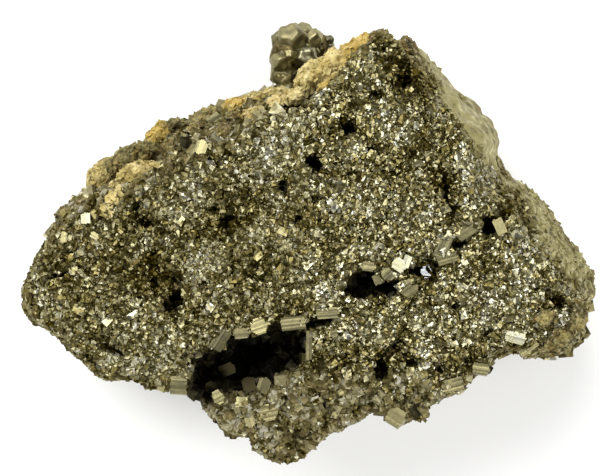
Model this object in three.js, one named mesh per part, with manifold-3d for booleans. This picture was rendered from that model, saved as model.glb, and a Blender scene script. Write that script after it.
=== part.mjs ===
// A hand specimen of massive granular pyrite, lying on its back with the broken face up.
// Millimetres, +Z up. The origin is under the middle of its box, on the surface that it rests on.
// The pyrite, with the knob and the crystals that grew out of it, is one solid. Four remnants of
// the limonite-stained host rock sit in shallow seats along its upper edge.
import * as THREE from "three";
import { ImprovedNoise } from "three/addons/math/ImprovedNoise.js";
import { mergeVertices } from "three/addons/utils/BufferGeometryUtils.js";
import Module from "manifold-3d";

const wasm = await Module();
wasm.setup();

// Driving dimensions.
const THICKNESS = 36; // from the resting face to the highest part of the broken face
const SEAT_GAP = 0.3; // between a host-rock remnant and the pyrite around it
const COLUMNS = 108; // columns of vertices round the stone
const FACE_ROWS = 4; // rows of vertices across the broken face, from its middle to its edge
const FLANK_ROWS = 7; // rows down the flanks
const BASE_ROWS = 1; // rows across the underside
const HEART = new THREE.Vector3(0, -1, 0); // the flanks are set in towards this point in plan
const BASE_SINK = 0.5; // how far the underside would reach below the resting face
const SMOOTHED_BENDS = 5; // columns on each side over which the rim's bends even out lower down
const FLANK_ROUNDNESS = 1.7; // 1 for straight flanks, more for rounder ones
const FLANK_ROUGHNESS = 1.4; // depth of the uneven lumps on the flanks
const FACE_ROUGHNESS = 0.5; // and of the gentle swells of the broken face

// The outline of the pyrite seen from above, anticlockwise from the right-hand tip.
const RIM = [
  [39.9, -7.4], [38.5, -3.3], [37.3, -1.8], [35.5, 0.7], [33.1, 4.5], [31.2, 7], [28.2, 9.1],
  [26.4, 12], [26.2, 15.4], [23.8, 18.5], [20.4, 21.6], [16.2, 25.8], [14.3, 27.5], [13.2, 28.1],
  [11.6, 27.6], [10.7, 29.1], [9.4, 29.3], [7.6, 27.4], [4.6, 25.2], [1.6, 23.2], [-1.4, 22],
  [-4.6, 21.5], [-7.4, 20.9], [-11.1, 19.4], [-14.3, 18.3], [-17.7, 16.9], [-20.4, 14.4],
  [-23.2, 11.2], [-26.6, 8.6], [-31.2, 6.9], [-33.7, 5.3], [-35.2, 3.3], [-36.4, 1.1],
  [-37.7, -1.8], [-39.2, -4.6], [-39.9, -7.6], [-38.8, -11], [-36.1, -12.7], [-33.9, -14.6],
  [-30.9, -17.8], [-28.7, -19.1], [-24.6, -18.6], [-22.1, -20.1], [-19.1, -20.5], [-16, -21.3],
  [-14.4, -23.5], [-11.1, -26.6], [-8.3, -27], [-7.2, -29.2], [-5.3, -30.1], [-2.1, -30.1],
  [0.2, -28.2], [2.5, -26], [6, -24.8], [9.7, -23.5], [11.5, -25.2], [12.7, -25.6],
  [15.4, -23.8], [18.1, -21.6], [21.3, -19.8], [22.7, -18.5], [25.2, -17.6], [26.4, -15.4],
  [31.9, -15.8], [36.3, -15.6], [38.5, -14], [39, -9.6],
];

// How the flank runs on each side: bearing in degrees from +X, the height where the stone is
// widest, and how far the broken face and the resting face are set in from there.
const SIDES = [
  { bearing: 0, belly: 13, faceIn: 5.5, baseIn: 5 }, // smooth natural flank
  { bearing: 45, belly: 14, faceIn: 5, baseIn: 6 },
  { bearing: 72, belly: 22, faceIn: 1.2, baseIn: 9 }, // peak
  { bearing: 98, belly: 15, faceIn: 4, baseIn: 6 }, // under the knob
  { bearing: 135, belly: 14, faceIn: 5, baseIn: 5 }, // coarse flank with host rock
  { bearing: 165, belly: 17, faceIn: 3, baseIn: 6 },
  { bearing: 190, belly: 20, faceIn: 1.5, baseIn: 8 }, // left-hand tip
  { bearing: 222, belly: 24, faceIn: 0.6, baseIn: 9 },
  { bearing: 262, belly: 22, faceIn: 0.8, baseIn: 11 }, // lower lobe
  { bearing: 300, belly: 24, faceIn: 0.6, baseIn: 9 },
  { bearing: 325, belly: 22, faceIn: 1, baseIn: 8 },
  { bearing: 340, belly: 9, faceIn: 4.5, baseIn: 4 }, // ledge under the face
];

// The broken face is where these planes meet: height at the middle, then rise per mm in X and Y.
const FACE_PLANES = [
  { height: 35.5, alongX: -0.01, alongY: 0.02 },
  { height: 39.6, alongX: 0.18, alongY: 0 }, // falls away towards the left-hand tip
  { height: 38.4, alongX: -0.17, alongY: 0.03 }, // and towards the right-hand one
  { height: 39.2, alongX: 0.02, alongY: 0.27 }, // lower lobe
  { height: 40.8, alongX: 0.03, alongY: -0.24 }, // peak
];

// Cavities and pits in the broken face: middle, half sizes, and turn in degrees about +Z.
const VUGS = [
  { at: [-13.9, -18.6], half: [3.4, 4, 8], turn: 20 }, // the large vug, open at the rim
  { at: [-8.6, -16.3], half: [5.4, 4.7, 12], turn: 12 },
  { at: [-3.4, -14.3], half: [4, 3.6, 10], turn: 25 },
  { at: [1.2, -10.9], half: [3, 0.9, 5], turn: 15 },
  { at: [7.9, -5.7], half: [3.6, 2.1, 7], turn: 8 }, // the middle vug
  { at: [11.3, -6.2], half: [2.2, 1.6, 5], turn: -10 },
  { at: [15.6, -3.8], half: [2.4, 0.9, 4], turn: 5 },
  { at: [20.3, 0.1], half: [1.6, 1.2, 4], turn: 30 },
  { at: [24.8, 2.3], half: [1.3, 1.3, 3.5], turn: 0 },
  { at: [32.2, -10.4], half: [1.7, 1.3, 3.5], turn: 20 },
];
const PITS = [
  { at: [5.2, 15.8], half: [1, 0.8, 3], turn: -15 },
  { at: [0.6, 10.9], half: [0.9, 1.3, 3], turn: 35 },
  { at: [-3.6, 7.7], half: [0.9, 0.7, 2.5], turn: 0 },
  { at: [-21.3, -5.4], half: [0.5, 1, 2.2], turn: 15 },
  { at: [-18.9, -8.3], half: [1.2, 0.9, 2.5], turn: 10 },
  { at: [9.8, -17.9], half: [0.8, 1.5, 3], turn: -8 },
];

// Striated cubes and blocks that stand out of the mass: middle of the outer face, size across,
// up and deep, turn about +Z, lean about the crystal's own X and roll about its own Y in degrees,
// and how far the outer face lies below the broken face.
const CRYSTALS = [
  { at: [-18.3, -18.7], size: [3.2, 4, 3.5], turn: -3, lean: 8, drop: 0 }, // left of the vug
  { at: [-12.3, -13.4], size: [3, 1.7, 3], turn: 58, lean: 12, drop: 0.2 },
  { at: [-9.4, -12.6], size: [2.2, 1.4, 2.5], turn: 5, lean: 15, drop: 0.4 },
  { at: [-7, -11.6], size: [2.5, 2.3, 2.5], turn: 25, lean: 6, drop: 0 },
  { at: [-2.4, -11.1], size: [3.3, 1.8, 3], turn: 4, lean: 14, drop: 0.1 },
  { at: [2.4, -9.6], size: [3, 1.6, 2.5], turn: 8, lean: 10, drop: 0.1 },
  { at: [0.1, -14.3], size: [1.3, 4, 3.5], turn: -2, lean: 0, drop: 0.3 }, // right of the vug
  { at: [3.1, -12.7], size: [1.5, 1.4, 2], turn: 20, lean: -6, drop: 0 },
  { at: [-12.6, -21.3], size: [2, 2.1, 3], turn: 28, lean: -14, drop: 0.2 }, // below the vug
  { at: [-9.4, -21.9], size: [1.8, 2.1, 3], turn: 2, lean: -10, drop: 0 },
  { at: [-6.3, -19.6], size: [1.9, 2.4, 3], turn: -18, lean: -12, drop: 0.4 },
  { at: [-5.7, -23.4], size: [2.5, 2.1, 2.5], turn: 12, lean: -6, drop: 0 },
  { at: [-8.2, -24.6], size: [1.4, 2.1, 2.5], turn: 15, lean: 0, drop: 0 },
  { at: [8, -3.2], size: [2.2, 1.5, 2.5], turn: -18, lean: 12, drop: 0.3 }, // middle vug
  { at: [10.9, -4.2], size: [2.3, 2.1, 2.5], turn: 38, lean: 15, drop: 0.9 },
  { at: [9.3, -5.2], size: [1.6, 1.6, 3], turn: 24, lean: 0, drop: 1.6 },
  { at: [12.6, -3], size: [3.1, 2.4, 3], turn: 42, lean: 4, drop: -0.3 },
  { at: [16, -4], size: [1.5, 1.6, 3.5], turn: 6, lean: 0, drop: 0.9 },
  { at: [13.6, -6.3], size: [2.9, 2.5, 3], turn: 36, lean: -8, drop: 0 },
  { at: [18.9, -2.1], size: [3.1, 1.7, 2.5], turn: 14, lean: 8, drop: 0 },
  { at: [18.7, 0.3], size: [1.6, 3, 3], turn: -24, lean: 10, drop: 0.1 },
  { at: [21.6, 1.7], size: [3.6, 2, 3], turn: 24, lean: 10, drop: 0 },
  { at: [26.2, 2.2], size: [1.6, 2.4, 3], turn: 24, lean: 4, drop: 0.3 },
  { at: [28.6, -13.2], size: [3.2, 1.9, 3], turn: -16, lean: 10, drop: -0.2 }, // lower edge
  { at: [30.2, -14.5], size: [3, 1.2, 3], turn: 35, lean: -10, drop: 1.2 },
  { at: [23.5, -17.4], size: [2.5, 1.6, 3], turn: -8, lean: -6, drop: 0.2 },
  { at: [19.7, -19.6], size: [3.4, 1.9, 3], turn: 14, lean: -8, drop: 0.2 },
  { at: [11.8, -24], size: [2.8, 2.5, 3.5], turn: -32, lean: -6, drop: 0.2 },
  { at: [14.8, -23], size: [2.1, 2.2, 3], turn: 30, lean: -18, drop: 0.6 },
  { at: [-30.8, 3.3], size: [1.3, 2.1, 2.5], turn: 4, lean: 8, drop: -0.2 }, // left shoulder
  { at: [-13.4, 16.4], size: [3, 2.3, 3], turn: 22, lean: 20, drop: 4 }, // coarse flank
  { at: [-17, 13.8], size: [1.7, 1.8, 2.5], turn: 6, lean: 12, drop: 1.6 },
  { at: [-14.9, 13.1], size: [2.2, 2.2, 2.5], turn: -20, lean: 6, drop: 0.4 },
  { at: [-20.2, 12], size: [2.5, 2.1, 3], turn: 30, lean: 16, drop: 2 },
];

// The knob of intergrown crystals that stands out past the upper edge.
const KNOB = [
  { at: [-2.6, 26.5, 14.5], radius: 3.5, turn: 15 },
  { at: [-0.3, 27.5, 13.6], radius: 3.1, turn: 40 },
  { at: [-2.9, 23.6, 14], radius: 3, turn: 70 },
  { at: [0.3, 24.2, 13.2], radius: 3.2, turn: 5 },
  { at: [-1.2, 21, 13], radius: 4, turn: 30 },
  { at: [1.9, 27.7, 12.8], radius: 1.4, turn: 55 },
];

// Remnants of host rock: each is one piece made of overlapping rounded lumps.
const HOST_ROCK = {
  matrix_crest: [
    { at: [1.3, 23.5, 26], half: [3.9, 2, 5], turn: 28 },
    { at: [5.1, 25.9, 27], half: [3.3, 1.9, 4.6], turn: 38 },
    { at: [7.6, 27.6, 28.2], half: [1.9, 1.3, 3.2], turn: 60 },
  ],
  matrix_shoulder: [
    { at: [-28.1, 9.4, 24], half: [2.3, 2.4, 4], turn: 0 },
    { at: [-23.1, 9.5, 28], half: [3.4, 2.1, 4.2], turn: 14 },
    { at: [-25.0, 11.7, 24.6], half: [2.9, 1.9, 4.2], turn: 32 },
  ],
  matrix_ridge: [{ at: [-20.3, 15.2, 22], half: [2.3, 1.3, 3.6], turn: 42 }],
  matrix_saddle: [
    { at: [-8.7, 19.7, 22], half: [3.2, 1.3, 3.6], turn: 22 },
    { at: [-5.2, 20.7, 22.6], half: [2, 1.1, 2.8], turn: 14 },
  ],
};

const COLOURS = {
  pyrite: new THREE.MeshStandardMaterial({ color: 0x9a9063, roughness: 0.35, metalness: 0.9 }),
  hostRock: new THREE.MeshStandardMaterial({ color: 0xb9a06a, roughness: 0.85, metalness: 0 }),
};

const noise = new ImprovedNoise();
const radians = THREE.MathUtils.degToRad;

// Two octaves of noise, from about -1 to 1, at the given size of lump.
function lumps(x, y, z, size) {
  const coarse = noise.noise(x / size, y / size, z / size);
  const fine = noise.noise((2.3 * x) / size, (2.3 * y) / size, (2.3 * z) / size);
  return 1.3 * coarse + 0.6 * fine;
}

// The rim as evenly spaced columns, and the same columns with the small bends evened out.
const rimCurve = new THREE.CatmullRomCurve3(
  RIM.map(([x, y]) => new THREE.Vector3(x, y, 0)), true, "centripetal");
const columns = rimCurve.getSpacedPoints(COLUMNS).slice(0, COLUMNS);
const evenColumns = columns.map((_, i) => {
  const sum = new THREE.Vector3();
  for (let step = -SMOOTHED_BENDS; step <= SMOOTHED_BENDS; step++) {
    sum.add(columns[(i + step + COLUMNS) % COLUMNS]);
  }
  return sum.divideScalar(2 * SMOOTHED_BENDS + 1);
});

// The flank's shape at a bearing, blended between the two sides next to it.
function sideAt(bearing) {
  const after = SIDES.findIndex((side) => side.bearing > bearing);
  const next = SIDES[after < 0 ? 0 : after];
  const last = SIDES[(after < 0 ? SIDES.length : after) - 1];
  const span = (next.bearing - last.bearing + 360) % 360;
  const share = THREE.MathUtils.smoothstep((bearing - last.bearing) / span, 0, 1);
  const blend = (key) => THREE.MathUtils.lerp(last[key], next[key], share);
  return { belly: blend("belly"), faceIn: blend("faceIn"), baseIn: blend("baseIn") };
}

// Height of the broken face over a point, before its cavities are cut.
function faceHeight(x, y) {
  const planes = FACE_PLANES.map((p) => p.height + p.alongX * x + p.alongY * y);
  return Math.min(...planes) + FACE_ROUGHNESS * lumps(x, y, 3, 17);
}

// A point moved towards the middle of the stone in plan.
function movedIn(point, distance) {
  const spoke = point.clone().sub(HEART);
  return spoke.setLength(spoke.length() - distance).add(HEART);
}

// A point of the flank in one column: down runs from 0 at the face's edge to 1 at the underside.
function flankPoint(column, down) {
  const rim = columns[column];
  const side = sideAt((THREE.MathUtils.radToDeg(Math.atan2(rim.y, rim.x)) + 360) % 360);
  const edge = movedIn(rim, side.faceIn);
  const top = faceHeight(edge.x, edge.y);
  const z = THREE.MathUtils.lerp(top, -BASE_SINK, down);
  const isAbove = z > side.belly;
  const share = isAbove
    ? (z - side.belly) / (top - side.belly)
    : (side.belly - z) / (side.belly + BASE_SINK);
  const setIn = (isAbove ? side.faceIn : side.baseIn) * share ** FLANK_ROUNDNESS;
  const plan = rim.clone().lerp(evenColumns[column], isAbove ? 0 : share);
  const rough = FLANK_ROUGHNESS * share * lumps(plan.x, plan.y, z, 9);
  return movedIn(plan, setIn + rough).setZ(z);
}

// A point of the stone in one column and row, counted from the middle of the broken face.
function bodyPoint(column, row) {
  if (row < FACE_ROWS) {
    const point = HEART.clone().lerp(flankPoint(column, 0), row / FACE_ROWS);
    return point.setZ(faceHeight(point.x, point.y));
  }
  const rowsDown = row - FACE_ROWS;
  if (rowsDown <= FLANK_ROWS) return flankPoint(column, rowsDown / FLANK_ROWS);
  const share = (rowsDown - FLANK_ROWS) / BASE_ROWS;
  return flankPoint(column, 1).lerp(new THREE.Vector3(HEART.x, HEART.y, -BASE_SINK), share);
}

// A closed geometry as a manifold-3d solid, its shared vertices merged.
function solidOf(geometry) {
  const bare = new THREE.BufferGeometry();
  bare.setAttribute("position", geometry.getAttribute("position"));
  bare.setIndex(geometry.index);
  const merged = mergeVertices(bare, 1e-4);
  const vertProperties = new Float32Array(merged.attributes.position.array);
  const triVerts = new Uint32Array(merged.index.array);
  return new wasm.Manifold(new wasm.Mesh({ numProp: 3, vertProperties, triVerts }));
}

// A manifold-3d solid as a named mesh.
function meshOf(name, solid, material) {
  const { vertProperties, triVerts } = solid.getMesh();
  const geometry = new THREE.BufferGeometry();
  geometry.setAttribute("position", new THREE.BufferAttribute(vertProperties, 3));
  geometry.setIndex(new THREE.BufferAttribute(triVerts, 1));
  geometry.computeVertexNormals();
  const mesh = new THREE.Mesh(geometry, material);
  mesh.name = name;
  return mesh;
}

// Moves each vertex of a geometry to where place() puts it.
function reshape(geometry, place) {
  const position = geometry.getAttribute("position");
  const point = new THREE.Vector3();
  for (let i = 0; i < position.count; i++) {
    place(point.fromBufferAttribute(position, i), i);
    position.setXYZ(i, point.x, point.y, point.z);
  }
  return geometry;
}

// The stone without its cavities: a ball whose rings of vertices are moved onto the stone.
function makeBody() {
  const rows = FACE_ROWS + FLANK_ROWS + BASE_ROWS;
  const ball = new THREE.SphereGeometry(1, COLUMNS, rows);
  return solidOf(reshape(ball, (point, i) => {
    const column = i % (COLUMNS + 1) % COLUMNS;
    point.copy(bodyPoint(column, Math.floor(i / (COLUMNS + 1))));
  }));
}

// A rounded lump with an uneven skin, grown on all sides by the given amount.
function makeLump({ at, half, turn = 0 }, detail, grow = 0) {
  const [x, y, z] = at;
  const lump = reshape(new THREE.IcosahedronGeometry(1, detail), (point) => {
    const swell = 1 + 0.16 * lumps(point.x + x, point.y + y, point.z + z, 1.1);
    point.set(
      point.x * (half[0] * swell + grow),
      point.y * (half[1] * swell + grow),
      point.z * (half[2] * swell + grow));
  });
  lump.rotateZ(radians(turn));
  lump.translate(x, y, z);
  return solidOf(lump);
}

// A hollow whose middle lies on the broken face.
function makeHollow(hollow, detail) {
  const [x, y] = hollow.at;
  return makeLump({ ...hollow, at: [x, y, faceHeight(x, y)] }, detail);
}

// A block with its outer face near the stone's surface.
function makeCrystal({ at: [x, y], size: [across, up, deep], turn, lean, drop }) {
  const block = new THREE.BoxGeometry(across, up, deep);
  block.translate(0, 0, -deep / 2);
  block.rotateX(radians(lean));
  block.rotateZ(radians(turn));
  block.translate(x, y, faceHeight(x, y) + 0.35 - drop);
  return solidOf(block);
}

// One crystal of the knob: a blunt twelve-sided pyrite form.
function makeKnobCrystal({ at, radius, turn }) {
  const form = new THREE.DodecahedronGeometry(radius);
  form.rotateX(radians(turn / 2));
  form.rotateZ(radians(turn));
  form.translate(...at);
  return solidOf(form);
}

// The remnant's lumps joined in one solid.
function makeRemnant(parts, grow = 0) {
  return wasm.Manifold.union(parts.map((part) => makeLump(part, 2, grow)));
}

// The pyrite: body, less its hollows, with its crystals and knob, less the seats of the remnants.
function makePyrite() {
  const hollows = [
    ...VUGS.map((vug) => makeHollow(vug, 2)),
    ...PITS.map((pit) => makeHollow(pit, 1)),
  ];
  const growths = [...CRYSTALS.map(makeCrystal), ...KNOB.map(makeKnobCrystal)];
  const seats = Object.values(HOST_ROCK).map((parts) => makeRemnant(parts, SEAT_GAP));
  const below = new THREE.BoxGeometry(100, 100, 10).translate(0, 0, -5);
  const stone = makeBody()
    .subtract(wasm.Manifold.union(hollows))
    .add(wasm.Manifold.union(growths))
    .subtract(wasm.Manifold.union([...seats, solidOf(below)]));
  const pieces = stone.decompose().sort((a, b) => b.volume() - a.volume());
  return pieces[0];
}

const specimen = new THREE.Group();
specimen.add(meshOf("pyrite_mass", makePyrite(), COLOURS.pyrite));
for (const [name, parts] of Object.entries(HOST_ROCK)) {
  specimen.add(meshOf(name, makeRemnant(parts), COLOURS.hostRock));
}
const middle = new THREE.Box3().setFromObject(specimen).getCenter(new THREE.Vector3());
specimen.position.set(-middle.x, -middle.y, 0);

export default specimen;
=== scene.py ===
"""The looks of a pyrite hand specimen that lies on its back with its broken face up.

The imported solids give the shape, the size and the places. The pyrite mass is remeshed, given the
relief of a granular stone, and covered with grains. Striated crystals stand on the rims of its
vugs, a knob of rounded crystals stands out past the upper edge, and remnants of host rock sit
along it.
"""

import logging
import math
import random
from dataclasses import dataclass, field
from enum import Enum
from typing import Iterable

import bmesh
import bpy
import numpy as np
from mathutils import Euler, Matrix, Vector, noise
from mathutils.bvhtree import BVHTree
from mathutils.kdtree import KDTree


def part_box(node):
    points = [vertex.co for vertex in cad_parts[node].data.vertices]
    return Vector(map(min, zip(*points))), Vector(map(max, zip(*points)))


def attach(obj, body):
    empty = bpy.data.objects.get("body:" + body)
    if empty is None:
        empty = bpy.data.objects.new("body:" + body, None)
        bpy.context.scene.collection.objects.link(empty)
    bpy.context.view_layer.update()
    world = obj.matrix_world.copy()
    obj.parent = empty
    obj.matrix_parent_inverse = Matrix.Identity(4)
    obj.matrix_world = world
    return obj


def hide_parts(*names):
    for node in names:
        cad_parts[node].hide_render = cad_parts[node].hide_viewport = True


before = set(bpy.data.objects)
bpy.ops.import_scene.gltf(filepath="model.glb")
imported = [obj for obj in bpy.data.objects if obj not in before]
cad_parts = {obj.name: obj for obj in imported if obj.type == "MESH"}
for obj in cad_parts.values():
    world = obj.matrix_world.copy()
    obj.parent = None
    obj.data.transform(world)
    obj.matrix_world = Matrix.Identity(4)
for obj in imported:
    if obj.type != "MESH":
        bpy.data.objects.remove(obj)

log = logging.getLogger("pyrite")
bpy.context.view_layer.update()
MM = 0.001
ROOT = "root"
MASS = "pyrite_mass"
ROCKS = ("matrix_crest", "matrix_shoulder", "matrix_ridge", "matrix_saddle")
Colour = tuple[float, float, float]


# ---------------------------------------------------------------- node trees


class Value:
    """An output of a node tree's node, with arithmetic that adds Math nodes."""

    def __init__(self, tree: "Tree", socket: bpy.types.NodeSocket) -> None:
        """Wraps an output socket of a tree."""
        self.tree = tree
        self.socket = socket

    def _math(self, operation: str, *terms: object) -> "Value":
        """The result of a new Math node, from its operation and its inputs."""
        node = self.tree.node("ShaderNodeMath", {"operation": operation}, dict(enumerate(terms)))
        return Value(self.tree, node.outputs[0])

    def __add__(self, other: object) -> "Value":
        """Sum."""
        return self._math("ADD", self, other)

    __radd__ = __add__

    def __sub__(self, other: object) -> "Value":
        """Difference."""
        return self._math("SUBTRACT", self, other)

    def __rsub__(self, other: object) -> "Value":
        """Difference, reflected."""
        return self._math("SUBTRACT", other, self)

    def __mul__(self, other: object) -> "Value":
        """Product."""
        return self._math("MULTIPLY", self, other)

    __rmul__ = __mul__

    def at_least(self, other: object) -> "Value":
        """The larger of the two."""
        return self._math("MAXIMUM", self, other)

    def at_most(self, other: object) -> "Value":
        """The smaller of the two."""
        return self._math("MINIMUM", self, other)

    def clamped(self) -> "Value":
        """The value kept between 0 and 1."""
        return self.at_least(0.0).at_most(1.0)

    def between(self, low: float, high: float) -> "Value":
        """A smooth step.

        Args:
            low: Where the step starts. It may be above high, for a step down.
            high: Where the step ends.

        Returns:
            0 before the step, 1 after it.
        """
        node = self.tree.node(
            "ShaderNodeMapRange",
            {"interpolation_type": "SMOOTHSTEP"},
            {"Value": self, "From Min": low, "From Max": high},
        )
        return Value(self.tree, node.outputs[0])


class Tree:
    """A node tree that is being built."""

    def __init__(self, tree: bpy.types.NodeTree) -> None:
        """Takes over a shader tree or a geometry tree."""
        self.tree = tree

    def node(
        self,
        kind: str,
        settings: dict[str, object] | None = None,
        inputs: dict[object, object] | None = None,
    ) -> bpy.types.Node:
        """Adds a node.

        Args:
            kind: The node's type.
            settings: Its properties, set before its sockets. "stops" are a ramp's stops.
            inputs: Its inputs by name or number, each a number, a text, a value or a socket.

        Returns:
            The node.
        """
        node = self.tree.nodes.new(kind)
        for name, setting in (settings or {}).items():
            if name == "stops":
                self._set_stops(node, setting)
            else:
                setattr(node, name, setting)
        for key, value in (inputs or {}).items():
            self.feed(node.inputs[key], value)
        return node

    def feed(self, socket: bpy.types.NodeSocket, value: object) -> None:
        """Sets an input socket, or links it.

        Args:
            socket: The input.
            value: A number, text, tuple, material, value or output socket, or a list of outputs.
        """
        for item in value if isinstance(value, list) else [value]:
            if isinstance(item, Value):
                self.tree.links.new(item.socket, socket)
            elif isinstance(item, bpy.types.NodeSocket):
                self.tree.links.new(item, socket)
            else:
                socket.default_value = item

    @staticmethod
    def _set_stops(node: bpy.types.Node, stops: Iterable[tuple[float, Colour]]) -> None:
        """Gives a ramp its stops.

        Args:
            node: The ramp.
            stops: The stops, each a position and a colour.
        """
        elements = node.color_ramp.elements
        while len(elements) < len(stops):
            elements.new(1.0)
        for element, (position, colour) in zip(elements, stops):
            element.position = position
            element.color = (*colour, 1.0)

    def value(self, kind: str, output: object, settings: dict | None = None,
              inputs: dict | None = None) -> Value:
        """One output, by name or number, of a new node that is made as node() makes it."""
        return Value(self, self.node(kind, settings, inputs).outputs[output])

    def vector(self, operation: str, *terms: object) -> bpy.types.NodeSocket:
        """The vector of a new Vector Math node."""
        return self.node("ShaderNodeVectorMath", {"operation": operation}, dict(enumerate(terms))).outputs[0]

    def scaled(self, vector: object, factor: object) -> bpy.types.NodeSocket:
        """A vector times a number."""
        return self.node("ShaderNodeVectorMath", {"operation": "SCALE"},
                         {0: vector, "Scale": factor}).outputs[0]

    def noise(self, vector: object, size: float, detail: float, output: int = 0) -> Value:
        """Noise with features of the given size in metres: its factor, output 0, or its colour, 1."""
        return self.value("ShaderNodeTexNoise", output, None,
                          {"Vector": vector, "Scale": 1.0 / size, "Detail": detail})

    def cells(self, vector: object, size: float) -> bpy.types.Node:
        """A Voronoi texture with cells of the given size, in metres."""
        return self.node("ShaderNodeTexVoronoi", None, {"Vector": vector, "Scale": 1.0 / size})

    def off_centre(self, vector: object, size: float, feature: str = "F1") -> Value:
        """How far a place lies from the middle of its cell, in cells of the given size."""
        return self.value("ShaderNodeTexVoronoi", "Distance", {"feature": feature},
                          {"Vector": vector, "Scale": 1.0 / size})

    def mixed(self, factor: object, first: object, second: object) -> bpy.types.NodeSocket:
        """Two colours mixed. The factor is the share of the second."""
        return self.node("ShaderNodeMix", {"data_type": "RGBA"},
                         {0: factor, 6: opaque(first), 7: opaque(second)}).outputs[2]

    def bump(self, strength: float, distance: float, height: object) -> bpy.types.NodeSocket:
        """The normal of a new Bump node, its distance in metres."""
        return self.node("ShaderNodeBump", None,
                         {"Strength": strength, "Distance": distance, "Height": height}).outputs[0]

    def marks(self, *names: str) -> dict[str, Value]:
        """The numbers that a material's pieces store under these names."""
        return {name: self.value("ShaderNodeAttribute", "Fac", {"attribute_name": name}) for name in names}

    def combined(self, x: object, y: object, z: object) -> bpy.types.NodeSocket:
        """A vector of three numbers or values."""
        return self.node("ShaderNodeCombineXYZ", None, {"X": x, "Y": y, "Z": z}).outputs[0]

    def ramp(self, factor: object, stops: Iterable[tuple[float, Colour]]) -> bpy.types.NodeSocket:
        """A colour ramp's colour."""
        return self.node("ShaderNodeValToRGB", {"stops": stops}, {"Fac": factor}).outputs[0]


def opaque(colour: object) -> object:
    """Gives a colour its alpha.

    Args:
        colour: Three numbers, or anything else.

    Returns:
        The three numbers and 1, or the other thing as it came.
    """
    if isinstance(colour, tuple) and len(colour) == 3:
        return (*colour, 1.0)
    return colour


# ---------------------------------------------------------------- finishes


def new_material(name: str) -> tuple[bpy.types.Material, Tree, bpy.types.Node, bpy.types.NodeSocket]:
    """Makes a material with one principled shader.

    Args:
        name: The material's name.

    Returns:
        The material, its tree, its shader and the Object coordinates.
    """
    material = bpy.data.materials.new(name)
    material.use_nodes = True
    material.node_tree.nodes.clear()
    tree = Tree(material.node_tree)
    shader = tree.node("ShaderNodeBsdfPrincipled")
    tree.node("ShaderNodeOutputMaterial", None, {"Surface": shader.outputs[0]})
    place = tree.node("ShaderNodeTexCoord").outputs["Object"]
    return material, tree, shader, place


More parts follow.
